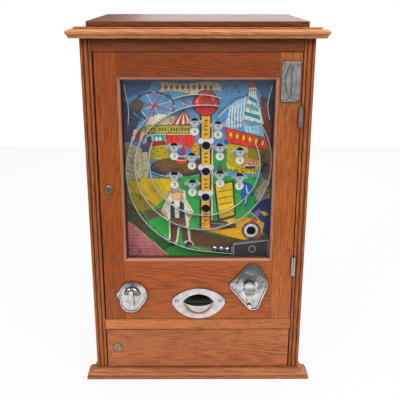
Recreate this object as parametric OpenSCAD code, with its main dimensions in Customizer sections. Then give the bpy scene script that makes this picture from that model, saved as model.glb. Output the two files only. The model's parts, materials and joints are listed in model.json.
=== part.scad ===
// Wall-hung flick-ball amusement machine in an oak cabinet.
// Origin: centre of the face frame's front, on the underside of the plinth.
// +X right, +Y into the cabinet, +Z up. Millimetres.

/* [Cabinet] */
// Width of the face frame
face_w = 480; // [470:2:490]
// Height from the underside of the plinth to the top of the top board
total_h = 818; // [814:1:830]
// Depth of the box behind the front of the face frame
depth = 334; // [280:2:360]
// Thickness of the face frame
face_t = 22; // [22:1:24]
// Width of one reeded stile of the face frame
stile_w = 24.5; // [24:0.5:26]
// How far the box is set in from each side of the face frame
box_inset = 16; // [14:1:18]
// Thickness of the side panels, shelf and base
panel_t = 12; // [10:1:14]

/* [Mouldings] */
// Height of the plinth moulding
plinth_h = 21.4; // [20:0.2:22]
// Overhang of the plinth at the floor
plinth_out = 21.6; // [18:0.2:24]
// Height of the underside of the cornice
cornice_z = 786; // [784:1:788]
// Overhang of the cornice at its widest
cornice_out = 23.5; // [20:0.5:26]
// Thickness of the top board
top_t = 11; // [10:0.5:12]

/* [Doors] */
// Thickness of the main door
door_t = 20; // [18:1:20]
// Bottom of the main door's opening
door_low = 148; // [147:0.5:149]
// Top of the main door's opening
door_high = 758; // [757:0.5:760]
// Thickness of the cash door
cash_t = 18; // [16:1:18]
// Top of the cash door's opening
cash_top = 122; // [120:1:123]
// Radius of the hinge knuckles
knuckle_r = 4.5; // [4:0.1:5]
// Length of one hinge
hinge_len = 43; // [38:1:48]

/* [Playfield] */
// Front of the playfield board, behind the face frame's front
play_y = 42; // [42:1:44]
// Depth of the tracks and cups in front of the board
track_depth = 14; // [12:0.5:15]
// Thickness of the track strip
track_t = 1.5; // [1:0.1:2]
// Diameter of a steel ball
ball_d = 14.3; // [12.7:0.1:14.3]

/* [Fittings] */
// Thickness of the front plates
plate_t = 3; // [2.5:0.1:3]
// Height of the main door's lock
door_lock_z = 465; // [440:1:500]
// Height of the cash door's lock
cash_lock_z = 74; // [60:1:80]
// Throw of the claim knob's crank
crank_throw = 22; // [20:0.5:22]

/* [Hidden] */
$fn = 64;

oak = "peru";
oak_light = "burlywood";
dark_wood = "saddlebrown";
chrome = "silver";
steel = "gray";

// Clearances: e overshoots a cut, shaft_gap is a shaft's running fit
e = 1;
shaft_gap = 0.06;
half_w = face_w / 2;
open_x = half_w - stile_w;
box_x = half_w - box_inset;
inner_x = box_x - panel_t;
box_top = total_h - top_t;
back_t = 10;
door_z = [door_low, door_high];
shelf_z = [cash_top + 6, cash_top + 6 + panel_t];
edge_r = 1.2;

// Main door: its edges, its window and the bead that lines the window
hinge_at = [open_x - 0.5, -knuckle_r - 0.3];
door_x = [-open_x + 2.5, open_x - 1];
door_h = [door_z[0] + 1, door_z[1] - 1];
window_x = [-160, 161];
window_z = [301, 700];
bead_w = 7;
lining_x = [window_x[0] - bead_w, window_x[1] + bead_w];
lining_z = [window_z[0] - bead_w, window_z[1] + bead_w];
hinge_z = [263, 604];
leaf_t = 1.5;
leaf_y = [0.3, 17];
knuckles = 5;
knuckle_gap = 0.4;
hinge_pin_r = 1.8;

door_lock_at = [-193, door_lock_z];
door_bezel_r = 9;
door_barrel_r = 8;
door_plug_r = 5.6;

// Cash door: it turns on pins that stand inside its rounded right edge
cash_x = open_x - 2;
cash_z = [plinth_h + 1, cash_top - 1];
cash_pivot = [cash_x - 7, 4.5];
pivot_r = 2.5;
pivot_reach = 9;
cash_lock_at = [-189, cash_lock_z];
cash_bezel_r = 10.5;
cash_barrel_r = 9;
cash_plug_r = 6.4;

// The back has four holes through which the machine is screwed to a wall
wall_hole_r = 4;
wall_spacing = [340, 560];
wall_centre_z = 470;

// Coins fall through the hole in the shelf, into the cash box
shelf_hole = [[115, 55], [185, 125]];
cash_box_size = [380, 260, 72];
cash_box_y = 40;

// Glass, then the ball space, then the playfield board
glass_t = 3;
glass_x = [-166, 167];
glass_z = [289, 711];
board_x = 178;
board_z = [278, 714];
board_t = 6;
track_y = play_y - track_depth;
surround_w = 15;

// Mechanism behind the door
mech_y = 44;
mech_t = 2;
mech_x = 175;
mech_z = [160, 274];
trigger_at = [118, 232];
claim_at = [-151, 212];
spindle_r = 4;
spindle_end = mech_y + mech_t + 1;
bed_z = 240;
bed_t = 2;
slide_t = 2.2;
tube_at = [-45, 73];
coin_r = 15.4;
tube_r = coin_r + 0.6;
tube_z = [bed_z + bed_t + slide_t + 0.6, 302];
payout_x = [-32, 36];
payout_z = [181, 214];
slot_at = [191, 698];
slot_size = [3, 34];

// Tracks: their centre, and the launch run from the balls to the outer turn
spiral_c = [14, 509];
launch = [[84, 301.2], [24, 307]];

// Win cups: x of each, and height of the number disc under it
cups = [
    [-7, 585], [44, 578], [-52, 530], [-13, 508], [48.5, 529],
    [92.5, 520], [-52, 464], [-12, 446], [49.5, 467], [93, 461]
];
cup_rise = 21.5;
cup_r = 7.7;
disc_r = 9.4;
// Holes where a ball is lost: x, z and radius
lose_holes = [[18, 553, 9.5], [18, 494, 9.5], [17.5, 434, 9.5], [18, 407, 9.5]];
return_hole = [122, 354, 10.5];

// Screws that hold the front plates: x and z of each
front_screws = [
    [176.5, 661], [206.5, 661], [176.5, 734], [206.5, 734],
    [-48, 197], [50, 197], [121, 266], [119, 203], [-178, 212], [-135, 237]
];
shank_r = 1.8;
shank_len = 12;

function polar(c, r, a) = c + r * [cos(a), sin(a)];
function arc(c, r, a0, a1, n = 16) = [for (i = [0:n]) polar(c, r, a0 + (a1 - a0) * i / n)];
function reversed(p) = [for (i = [len(p) - 1:-1:0]) p[i]];

// A line moved sideways by d, to its left for a positive d
function beside(p, d) = [
    for (i = [0:len(p) - 1])
        let (step = p[min(i + 1, len(p) - 1)] - p[max(i - 1, 0)])
        p[i] + d * [-step[1], step[0]] / norm(step)
];

// A line about the spiral's centre whose radius follows [angle, radius] keys
function spiral(keys, a0, a1, n) = [
    for (i = [0:n]) let (a = a0 + (a1 - a0) * i / n) polar(spiral_c, lookup(a, keys), a)
];

// Draws an outline given in X and Z as a slab t thick, its back at y
module slab(y, t) {
    translate([0, y, 0]) rotate([90, 0, 0]) linear_extrude(t) children();
}

// Draws an outline given in Y and Z, from x0 to x1
module across(x0, x1) {
    translate([x0, 0, 0]) rotate([90, 0, 90]) linear_extrude(x1 - x0) children();
}

// A round bar along +Y
module rod(at, r, y0, y1) {
    translate([at[0], y0, at[1]]) rotate([-90, 0, 0]) cylinder(r = r, h = y1 - y0);
}

// A box given by its lowest and highest corners
module block(low, high) {
    translate(low) cube(high - low);
}

module round_rect(low, high, r) {
    translate([low[0] + r, low[1]]) square([high[0] - low[0] - 2 * r, high[1] - low[1]]);
    translate([low[0], low[1] + r]) square([high[0] - low[0], high[1] - low[1] - 2 * r]);
    for (x = [low[0] + r, high[0] - r], y = [low[1] + r, high[1] - r])
        translate([x, y]) circle(r);
}

// Boards with eased long edges: one stands, one lies along X
module upright_board(x, y, z) {
    translate([0, 0, z[0]]) linear_extrude(z[1] - z[0])
        round_rect([x[0], y[0]], [x[1], y[1]], edge_r);
}

module level_board(x, y, z) {
    across(x[0], x[1]) round_rect([y[0], z[0]], [y[1], z[1]], edge_r);
}

// A moulding round the front and both ends: profile gives overhang against height
module moulding(profile) {
    intersection() {
        across(-half_w - cornice_out - e, half_w + cornice_out + e)
            polygon(concat([[face_t, profile[len(profile) - 1][1]], [face_t, profile[0][1]]],
                           [for (p = profile) [-p[0], p[1]]]));
        slab(face_t, face_t + cornice_out + e)
            polygon(concat([for (p = profile) [half_w + p[0], p[1]]],
                           reversed([for (p = profile) [-half_w - p[0], p[1]]])));
    }
}

module front_shanks() {
    for (s = front_screws) rod(s, shank_r, -plate_t - e, shank_len - plate_t);
}

// ---- Cabinet ----

module plinth() {
    flat_h = 7;
    round_r = 6.5;
    cove_r = 6.5;
    profile = concat(
        [[plinth_out, 0], [plinth_out, flat_h], [plinth_out - 1.6, flat_h]],
        arc([plinth_out - 1.6 - round_r, flat_h], round_r, 0, 90, 8),
        arc([plinth_out - 3.2 - round_r, flat_h + round_r + cove_r], cove_r, -90, -180, 8),
        [[2, flat_h + round_r + cove_r], [2, plinth_h], [0, plinth_h]]
    );
    color(oak) difference() {
        moulding(profile);
        translate([cash_pivot[0], cash_pivot[1], plinth_h - pivot_reach - 1])
            cylinder(r = pivot_r + shaft_gap, h = pivot_reach + 1 + e);
    }
}

module cornice() {
    lip = 3.2;
    widest = cornice_z + 10.5;
    fillet_z = box_top - 3.6;
    profile = concat(
        [[0, cornice_z], [cornice_out - 5, cornice_z]],
        arc([cornice_out - 5, widest], 5, -70, -10, 6),
        [[cornice_out, widest], [cornice_out, widest + lip]],
        [for (a = [10:10:80]) [9.6 + (cornice_out - 10.6) * cos(a), widest + lip + 3.7 * sin(a)]],
        [[8.9, fillet_z], [8.9, box_top], [0, box_top]]
    );
    color(oak) moulding(profile);
}

// One stile of the face frame: three reeds run its whole height
module face_stile() {
    reed = [7.3, 10.4, 6.8];
    reed_at = [reed[0] / 2, reed[0] + reed[1] / 2, reed[0] + reed[1] + reed[2] / 2];
    ground = 3;
    linear_extrude(cornice_z - plinth_h) {
        translate([0, ground]) square([stile_w, face_t - ground]);
        for (i = [0:2])
            translate([reed_at[i], reed[i] / 2]) circle(reed[i] / 2);
    }
}

module face_stile_left() {
    color(oak) translate([-open_x, 0, plinth_h]) mirror([1, 0, 0]) face_stile();
}

module face_stile_right() {
    color(oak) difference() {
        translate([open_x, 0, plinth_h]) face_stile();
        for (z = hinge_z)
            block([open_x - e, -e, z], [open_x + leaf_t, leaf_y[1], z + hinge_len]);
    }
}

module face_top_rail() {
    color(oak) level_board([-open_x, open_x], [0, face_t], [door_z[1], cornice_z]);
}

module face_mid_rail() {
    color(oak_light) difference() {
        level_board([-open_x, open_x], [0, face_t], [cash_top, door_z[0]]);
        translate([cash_pivot[0], cash_pivot[1], cash_top - e])
            cylinder(r = pivot_r + shaft_gap, h = pivot_reach + 1 + e);
    }
}

module side_panel() {
    upright_board([inner_x, box_x], [face_t, depth], [0, box_top]);
}

module side_panel_left() {
    color(oak) mirror([1, 0, 0]) side_panel();
}

module side_panel_right() {
    color(oak) side_panel();
}

module top_board() {
    color(oak) level_board([-box_x, box_x], [-2.4, depth], [box_top, total_h]);
}

module base_board() {
    color(dark_wood) block([-inner_x, face_t, 0], [inner_x, depth - back_t, panel_t]);
}

module back_board() {
    color(dark_wood) difference() {
        block([-inner_x, depth - back_t, 0], [inner_x, depth, box_top]);
        for (x = [-1, 1], z = [-1, 1])
            rod([x * wall_spacing[0] / 2, wall_centre_z + z * wall_spacing[1] / 2],
                wall_hole_r, depth - back_t - e, depth + e);
    }
}

module cash_shelf() {
    color(dark_wood) difference() {
        block([-inner_x, face_t, shelf_z[0]], [inner_x, depth - back_t, shelf_z[1]]);
        block([shelf_hole[0][0], shelf_hole[0][1], shelf_z[0] - e],
              [shelf_hole[1][0], shelf_hole[1][1], shelf_z[1] + e]);
    }
}

module cash_box() {
    wall = 1.2;
    corner_r = 6;
    low = [-cash_box_size[0] / 2, cash_box_y, panel_t];
    color("darkslategray") difference() {
        translate([0, 0, panel_t]) linear_extrude(cash_box_size[2])
            round_rect([low[0], low[1]], [-low[0], low[1] + cash_box_size[1]], corner_r);
        translate([0, 0, panel_t + wall]) linear_extrude(cash_box_size[2])
            round_rect([low[0] + wall, low[1] + wall],
                       [-low[0] - wall, low[1] + cash_box_size[1] - wall], corner_r - wall);
    }
}

// ---- Hinges and locks ----

// Knuckles number first, first + 2, ... of one hinge that starts at height z
module hinge_knuckles(z, first, side, inner_r) {
    pitch = hinge_len / knuckles;
    for (i = [first:2:knuckles - 1]) {
        low = z + i * pitch + knuckle_gap / 2;
        high = z + (i + 1) * pitch - knuckle_gap / 2;
        difference() {
            union() {
                translate([hinge_at[0], hinge_at[1], low]) cylinder(r = knuckle_r, h = high - low);
                block([min(side[0], side[1]), hinge_at[1], low],
                      [max(side[0], side[1]), leaf_y[0] + e, high]);
            }
            if (inner_r > 0)
                translate([hinge_at[0], hinge_at[1], low - e])
                    cylinder(r = inner_r, h = high - low + 2 * e);
        }
    }
}

// Leaves let into the edge of the face frame, with the pins riveted in
module hinge_leaves_fixed() {
    side = [open_x, open_x + leaf_t];
    color(chrome) for (z = hinge_z) {
        block([side[0], leaf_y[0], z], [side[1], leaf_y[1], z + hinge_len]);
        hinge_knuckles(z, 0, side, 0);
        translate([hinge_at[0], hinge_at[1], z]) cylinder(r = hinge_pin_r, h = hinge_len);
        translate([hinge_at[0], hinge_at[1], z + hinge_len - e]) cylinder(r = 3, h = e + 1.4);
        translate([hinge_at[0], hinge_at[1], z - 1.4]) cylinder(r = 3, h = e + 1.4);
    }
}

module hinge_leaves_moving() {
    side = [door_x[1] - leaf_t, door_x[1]];
    color(chrome) for (z = hinge_z) {
        block([side[0], leaf_y[0], z], [side[1], leaf_y[1], z + hinge_len]);
        hinge_knuckles(z, 1, side, hinge_pin_r + shaft_gap);
    }
}

// A turned barrel: bezel in front, body through the door, nut behind
module lock_barrel(at, bezel_r, body_r, bore_r, t) {
    difference() {
        union() {
            rod(at, bezel_r, -2, 0);
            rod(at, bezel_r - 1, -2.8, -2);
            rod(at, body_r, -e, t + 3.3);
            rod(at, body_r + 2, t, t + 2.5);
        }
        rod(at, bore_r, -4, t + 4);
    }
}

// A plug with a key slot, and its cam hanging down when unlocked
module lock_plug(at, r, t, reach) {
    cam = [t + 3.8, t + 6.3];
    key = [1.6, 7];
    difference() {
        rod(at, r, -3.4, cam[1]);
        block([at[0] - key[0] / 2, -4, at[1] - key[1] / 2],
              [at[0] + key[0] / 2, t / 2, at[1] + key[1] / 2]);
    }
    difference() {
        union() {
            slab(cam[1], cam[1] - cam[0]) translate([at[0], at[1]]) {
                circle(7);
                translate([-6, -reach + 6]) square([12, reach - 6]);
                translate([0, -reach + 6]) circle(6);
            }
        }
        rod(at, r, cam[0] - e, cam[1] + e);
    }
}

module door_lock_barrel() {
    color(chrome)
        lock_barrel(door_lock_at, door_bezel_r, door_barrel_r, door_plug_r + shaft_gap, door_t);
}

module door_lock_plug() {
    color(steel) lock_plug(door_lock_at, door_plug_r, door_t, 16);
}

module cash_lock_barrel() {
    color("tan")
        lock_barrel(cash_lock_at, cash_bezel_r, cash_barrel_r, cash_plug_r + shaft_gap, cash_t);
}

module cash_lock_plug() {
    color("tan") lock_plug(cash_lock_at, cash_plug_r, cash_t, 20);
}

// Angle plates on the left side panel, behind whose lips the cams turn
module lock_strikes() {
    lip_x = -inner_x + 7;
    lip_t = 2;
    half_h = 15;
    color(steel) for (k = [[door_lock_at[1], door_t], [cash_lock_at[1], cash_t]]) {
        front_y = k[1] + 1.2;
        block([-inner_x, front_y, k[0] - half_h], [lip_x, front_y + lip_t, k[0] + half_h]);
        block([-inner_x, face_t, k[0] - half_h], [-inner_x + lip_t, face_t + 26, k[0] + half_h]);
    }
}

// ---- Cash door ----

module cash_door_panel() {
    color(oak) difference() {
        upright_board([-cash_x, cash_x], [0, cash_t], cash_z);
        for (z = [cash_z[0] - e, cash_z[1] - 2 * pivot_reach])
            translate([cash_pivot[0], cash_pivot[1], z])
                cylinder(r = pivot_r, h = 2 * pivot_reach + e);
        rod(cash_lock_at, cash_barrel_r, -e, cash_t + e);
    }
}

module cash_door_pivots() {
    color(steel) {
        translate([cash_pivot[0], cash_pivot[1], plinth_h - pivot_reach])
            cylinder(r = pivot_r, h = cash_z[0] - plinth_h + 3 * pivot_reach);
        translate([cash_pivot[0], cash_pivot[1], cash_z[1] - 2 * pivot_reach])
            cylinder(r = pivot_r, h = cash_top - cash_z[1] + 3 * pivot_reach);
    }
}

// ---- Main door ----

module door_stile_left() {
    color(oak) difference() {
        upright_board([door_x[0], lining_x[0]], [0, door_t], door_h);
        rod(door_lock_at, door_barrel_r, -e, door_t + e);
        front_shanks();
    }
}

module door_stile_right() {
    color(oak) difference() {
        upright_board([lining_x[1], door_x[1]], [0, door_t], door_h);
        for (z = hinge_z)
            block([door_x[1] - leaf_t, -e, z], [door_x[1] + e, leaf_y[1], z + hinge_len]);
        block([slot_at[0] - 2.5, -e, slot_at[1] - slot_size[1] / 2 - 1],
              [slot_at[0] + 2.5, door_t + e, slot_at[1] + slot_size[1] / 2 + 1]);
        front_shanks();
    }
}

module door_top_rail() {
    color(oak) level_board(lining_x, [0, door_t], [lining_z[1], door_h[1]]);
}

module door_bottom_rail() {
    color(oak) difference() {
        level_board(lining_x, [0, door_t], [door_h[0], lining_z[0]]);
        block([payout_x[0], -e, payout_z[0] - 2], [payout_x[1], door_t + e, payout_z[1]]);
        rod(trigger_at, spindle_r + 2, -e, door_t + e);
        rod(claim_at, spindle_r + 2, -e, door_t + e);
        front_shanks();
    }
}

// One mitred length of the window bead, len long, its sight edge along Z = 0
module bead(len) {
    section = concat([[door_t, 0], [door_t, bead_w], [1.2, bead_w]],
                     arc([7, 6.5], 6, 180, 270, 10), [[8, 0.5], [8, 0]]);
    intersection() {
        across(-len / 2 - bead_w, len / 2 + bead_w) polygon(section);
        slab(door_t + e, door_t + 2 * e)
            polygon([[-len / 2, 0], [len / 2, 0],
                     [len / 2 + bead_w, bead_w], [-len / 2 - bead_w, bead_w]]);
    }
}

module window_moulding() {
    centre = [(window_x[0] + window_x[1]) / 2, (window_z[0] + window_z[1]) / 2];
    size = [window_x[1] - window_x[0], window_z[1] - window_z[0]];
    color(oak_light) translate([centre[0], 0, centre[1]]) for (i = [0:3])
        rotate([0, 90 * i, 0]) translate([0, 0, size[(i + 1) % 2] / 2]) bead(size[i % 2]);
}

module window_glass() {
    color("lightcyan", 0.3)
        block([glass_x[0], door_t, glass_z[0]], [glass_x[1], door_t + glass_t, glass_z[1]]);
}

// ---- Playfield ----

module playfield_board() {
    color("skyblue") difference() {
        block([-board_x, play_y, board_z[0]], [board_x, play_y + board_t, board_z[1]]);
        for (c = cups) rod([c[0], c[1] + cup_rise], cup_r, play_y - e, play_y + board_t + e);
        for (h = concat(lose_holes, [return_hole])) rod(h, h[2], play_y - e, play_y + board_t + e);
    }
}

// Fillets that close the ball space between the glass and the board
module playfield_surround() {
    inner = [-board_x + surround_w + 4, board_x - surround_w];
    glass_y = door_t + glass_t;
    bottom = [272, 286];
    kicker_gap_x = 70;
    color("maroon") {
        for (k = [[-board_x, inner[0]], [inner[1], board_x]])
            block([k[0], glass_y, bottom[1]], [k[1], play_y, board_z[1] - surround_w]);
        for (x = [-1, 1])
            block([min(x * (glass_x[1] + 1), x * board_x), door_t, bottom[1]],
                  [max(x * (glass_x[1] + 1), x * board_x), glass_y, board_z[1] - surround_w]);
        block([-board_x, glass_y, board_z[1] - surround_w], [board_x, play_y, board_z[1]]);
        block([-board_x, glass_y, bottom[0]], [kicker_gap_x, play_y, bottom[1]]);
    }
}

module strip(line) {
    slab(play_y, track_depth)
        polygon(concat(beside(line, track_t / 2), reversed(beside(line, -track_t / 2))));
}

// The straight launch run, then the outer turn up the left side
module track_outer() {
    keys = [[-221, 162], [-165, 174.5], [-127, 188], [-87.2, 202.2]];
    color(chrome) strip(concat([launch[0]], spiral(keys, -87.2, -221, 40)));
}

module track_middle() {
    keys = [[-283, 137], [-270, 135.6], [-238, 137.5], [-221, 143], [-207, 149], [-180, 152.5],
            [-135, 150.2], [-90, 147.5], [-45, 146], [-2, 146.5], [38, 154]];
    color(chrome) strip(spiral(keys, 38, -283, 96));
}

module track_inner() {
    keys = [[-206, 125.2], [-180, 120], [-135, 114], [-90, 113], [-45, 116], [0, 123], [26, 122.6]];
    color(chrome) strip(spiral(keys, 26, -206, 72));
}

module track_top() {
    color(chrome) strip(arc([0, 519], 148.5, 110.6, 70, 16));
}

// A cup that catches a ball and lets it roll back through the hole behind it
module win_cup() {
    wall = 1.2;
    rim = 4;
    peep_r = 2;
    outer = cup_r + wall;
    difference() {
        union() {
            slab(play_y, track_depth) intersection() {
                union() {
                    circle(outer);
                    translate([-outer, 0]) square([2 * outer, rim]);
                }
                translate([-outer, -outer]) square([2 * outer, outer + rim]);
            }
            slab(play_y, 1) {
                circle(outer + 3);
                translate([-7, -12]) square([14, 12]);
                for (x = [-14, 14]) {
                    translate([x, -1]) circle(4.2);
                    translate([min(x, 0), -3]) square([14, 4]);
                }
            }
            for (x = [-14, 14]) rod([x, -1], 1.6, play_y - 4, play_y);
        }
        slab(play_y + e, track_depth - wall + e) {
            circle(cup_r);
            translate([-cup_r, 0]) square([2 * cup_r, 2 * outer]);
        }
        rod([0, 0], peep_r, track_y - e, track_y + wall + e);
    }
}

module win_cups() {
    color(chrome) for (c = cups) translate([c[0], 0, c[1] + cup_rise]) win_cup();
}

module number_discs() {
    color("ivory") for (c = cups) rod(c, disc_r, play_y - 1.4, play_y);
}

// Rings round the lost-ball holes, all but the lowest, each under a pair of wings
module hole_rims() {
    ring_w = 1.6;
    crown_w = 4;
    wing_r = 6;
    color(chrome) {
        for (h = [for (i = [0:2]) lose_holes[i]]) {
            difference() {
                rod(h, h[2] + ring_w, play_y - 2, play_y);
                rod(h, h[2], play_y - 2 - e, play_y + e);
            }
            slab(play_y, 9) translate([h[0], h[1]]) difference() {
                union() {
                    polygon(concat(arc([0, 0], h[2] + ring_w + crown_w, 35, 145, 14),
                                   arc([0, 0], h[2], 145, 35, 14)));
                    for (x = [-1, 1]) translate([11.5 * x, 11.5]) circle(wing_r);
                }
                circle(h[2] + ring_w);
            }
        }
        difference() {
            rod(return_hole, return_hole[2] + 5.5, play_y - 2.5, play_y);
            rod(return_hole, return_hole[2], play_y - 2.5 - e, play_y + e);
        }
    }
}

buffer_at = [-130, 643];
module buffer() {
    color("darkolivegreen") rod(buffer_at, 13, track_y, play_y);
}

// Bright spring-steel strips: one down each upper corner, one under the buffer
module side_guards() {
    color(chrome) {
        strip([[-156, 688], [-149.5, 655], [-147.5, 630], [-149.5, 602]]);
        strip([[157, 686], [149.5, 655], [148.5, 640], [154, 612]]);
        strip([[-121, 631.5], [-113, 624.5], [-106, 614]]);
    }
}

// Sheet cover over the kicker, open below and towards the ball
cover_x = [81, 161];
cover_z = [297, 328, 338];
module launcher_cover() {
    y = [25, 26.5];
    wall = 2;
    color("dimgray") {
        slab(y[1], y[1] - y[0]) polygon([
            [cover_x[0], cover_z[0]], [cover_x[1], cover_z[0]],
            [cover_x[1], cover_z[2]], [cover_x[0], cover_z[1]]]);
        slab(play_y, play_y - y[0]) polygon([
            [cover_x[0], cover_z[1] - wall], [cover_x[1], cover_z[2] - wall],
            [cover_x[1], cover_z[2]], [cover_x[0], cover_z[1]]]);
        block([cover_x[1] - wall, y[0], cover_z[0]], [cover_x[1], play_y, cover_z[2]]);
        slab(y[0], 1) difference() {
            polygon([[cover_x[0], cover_z[0]], [cover_x[1], cover_z[0]],
                     [cover_x[1], cover_z[2]], [cover_x[0], cover_z[1]]]);
            polygon([[cover_x[0] + 2, cover_z[0] + 2], [cover_x[1] - 2, cover_z[0] + 2],
                     [cover_x[1] - 2, cover_z[2] - 2.5], [cover_x[0] + 2, cover_z[1] - 2.2]]);
        }
        difference() {
            rod([124, 315], 8.5, y[0] - 0.8, y[0]);
            rod([124, 315], 6.8, y[0] - 2, y[0] + 0.4);
        }
    }
}

// The balls wait in a row on the launch run; the last one is struck first
ball_y = play_y - ball_d / 2 - 0.5;
launch_slope = atan2(launch[1][1] - launch[0][1], launch[0][0] - launch[1][0]);
ball_lift = (ball_d / 2 + track_t / 2 + 0.3) / cos(launch_slope);
function ball_at(x) = [x, ball_y, launch[1][1] - (x - launch[1][0]) * tan(launch_slope) + ball_lift];
balls_x = [68, 53.4, 38.8];

module steel_balls() {
    color("gainsboro") for (i = [0, 1]) translate(ball_at(balls_x[i])) sphere(d = ball_d);
}

module leading_ball() {
    color("gainsboro") translate(ball_at(balls_x[2])) sphere(d = ball_d);
}

gate_at = [149, 512];
module ball_gate() {
    lean = 28;
    arm = 19;
    color("black") {
        rod(gate_at, 3.8, track_y + 1, play_y - 0.5);
        slab(play_y - 1, track_depth - 3) translate(gate_at) rotate(-lean) {
            translate([-0.8, -arm]) square([1.6, arm]);
            translate([0, -arm]) circle(1.4);
        }
    }
}

// ---- Front plates ----

// Coin entry: a slot between two raised guides, with a lip under it
module coin_plate() {
    low = [172, 656.5];
    high = [211, 739.5];
    guide_r = 60;
    guide_w = 10.5;
    groove = 5;
    color(chrome) difference() {
        union() {
            slab(0, plate_t) difference() {
                round_rect(low, high, 4);
                translate(slot_at) square(slot_size, center = true);
            }
            slab(-plate_t + 0.5, 6) translate([slot_at[0], slot_at[1] + 2])
                for (side = [-1, 1]) intersection() {
                    translate([side * (guide_w - guide_r), 0]) circle(guide_r);
                    translate([side * guide_w - guide_w, -guide_r])
                        square([2 * guide_w, 2 * guide_r]);
                }
            slab(-plate_t + 0.5, 4.5) polygon([[183, 659], [199, 659], [196, 664], [186, 664]]);
        }
        block([slot_at[0] - groove / 2, -20, slot_at[1] - guide_r / 2],
              [slot_at[0] + groove / 2, -plate_t + 0.4, slot_at[1] + guide_r / 2]);
        front_shanks();
    }
}

// A bowl turned about an upright axis behind the plate, the rim of it at rim_z
module bowl(axis, rim_z, c, r) {
    translate(axis) rotate_extrude() translate([0, rim_z]) intersection() {
        union() {
            translate([c, 0]) circle(r);
            translate([0, -r]) square([c, r]);
        }
        translate([0, -r]) square([c + r, r]);
    }
}

// Payout cup: a pointed oval plate with a mouth, and half a bowl under it
module payout_cup() {
    centre_x = 1.7;
    end_x = 60.5;
    arcs = [[81.6, 146.4], [68, 220]];
    mouth = [42.1, payout_z[1] - 42.1];
    rim_z = 195;
    axis = [centre_x, 13.4, 0];
    bowl_c = 4.1;
    bowl_r = 34.3;
    wall = 2;
    color(chrome) difference() {
        union() {
            slab(0, plate_t) intersection() {
                translate([centre_x, arcs[0][1]]) circle(arcs[0][0]);
                translate([centre_x, arcs[1][1]]) circle(arcs[1][0]);
                translate([centre_x - end_x, 0]) square([2 * end_x, total_h]);
            }
            intersection() {
                bowl(axis, rim_z, bowl_c, bowl_r);
                block([-60, -60, 100], [60, -e, rim_z]);
            }
        }
        difference() {
            bowl(axis, rim_z + e, bowl_c, bowl_r - wall);
            block([-60, e, 100], [60, 100, rim_z + 2 * e]);
        }
        slab(e, plate_t + 2 * e) intersection() {
            translate([centre_x, mouth[1]]) circle(mouth[0]);
            translate([centre_x - 60, rim_z - 1]) square([120, 60]);
        }
        front_shanks();
    }
}

// The trigger plate's outline, inset evenly by d
module trigger_outline(d) {
    hull() {
        translate([85, 236]) circle(12 - d);
        translate([124, 267]) circle(22 - d);
        translate([133.5, 238]) circle(26 - d);
        translate([127, 189]) circle(15 - d);
    }
}

module trigger_plate() {
    rim_h = 2.5;
    color(chrome) difference() {
        union() {
            slab(0, plate_t) trigger_outline(0);
            slab(0, plate_t + rim_h) difference() {
                trigger_outline(0);
                trigger_outline(3);
            }
            rod(trigger_at, 9, -plate_t - 1.5, 0);
            for (a = [-42:14:42])
                slab(-plate_t + 0.2, 1.6) translate(trigger_at + [4, 0]) rotate(a)
                    translate([17, -0.7]) square([a % 28 == 0 ? 15 : 11, 1.4]);
        }
        rod(trigger_at, spindle_r + shaft_gap, -10, e);
        slab(-plate_t + 2, 4) polygon(concat(
            arc(trigger_at, 36, 135, 195, 12), arc(trigger_at, 30, 195, 135, 12)));
        front_shanks();
    }
}

module knob_plate() {
    rim_h = 2;
    color(chrome) difference() {
        union() {
            slab(0, plate_t) {
                knob_outline(0);
                translate([-177, 212]) circle(9);
            }
            slab(0, plate_t + rim_h) difference() {
                knob_outline(0);
                knob_outline(2.6);
            }
        }
        rod(claim_at, spindle_r + shaft_gap, -10, e);
        for (s = [front_screws[8], front_screws[9]]) rod(s, 4.6, -10, -plate_t);
        front_shanks();
    }
}

module knob_outline(d) {
    hull() {
        translate([-149, 213]) circle(32 - d);
        translate([-154, 193]) circle(24 - d);
    }
}

module plate_screws() {
    head_r = 4;
    head_h = 2.2;
    color(chrome) for (s = front_screws) {
        rod(s, shank_r, -plate_t, shank_len - plate_t);
        difference() {
            translate([s[0], -plate_t, s[1]]) rotate([90, 0, 0]) cylinder(r1 = head_r, r2 = 2.6, h = head_h);
            block([s[0] - 5, -plate_t - head_h - e, s[1] - 0.5], [s[0] + 5, -plate_t - 1.2, s[1] + 0.5]);
        }
    }
}

// ---- Coin way ----

// A flat casing that takes a coin in on edge and drops it behind the playfield
chute_x = [slot_at[0] - 4.5, slot_at[0] + 4.5];
chute_foot = 400;
module coin_chute() {
    wall = 2;
    color(steel) difference() {
        across(chute_x[0], chute_x[1]) polygon([
            [door_t, 737], [60, 737], [60, 650], [94, 570],
            [94, chute_foot], [54, chute_foot], [54, 580], [door_t, 660]]);
        across(chute_x[0] + wall, chute_x[1] - wall) polygon([
            [door_t - e, 735], [58, 735], [58, 649.6], [92, 569.6],
            [92, chute_foot - e], [56, chute_foot - e], [56, 580.4], [door_t - e, 665.1]]);
    }
}

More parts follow.
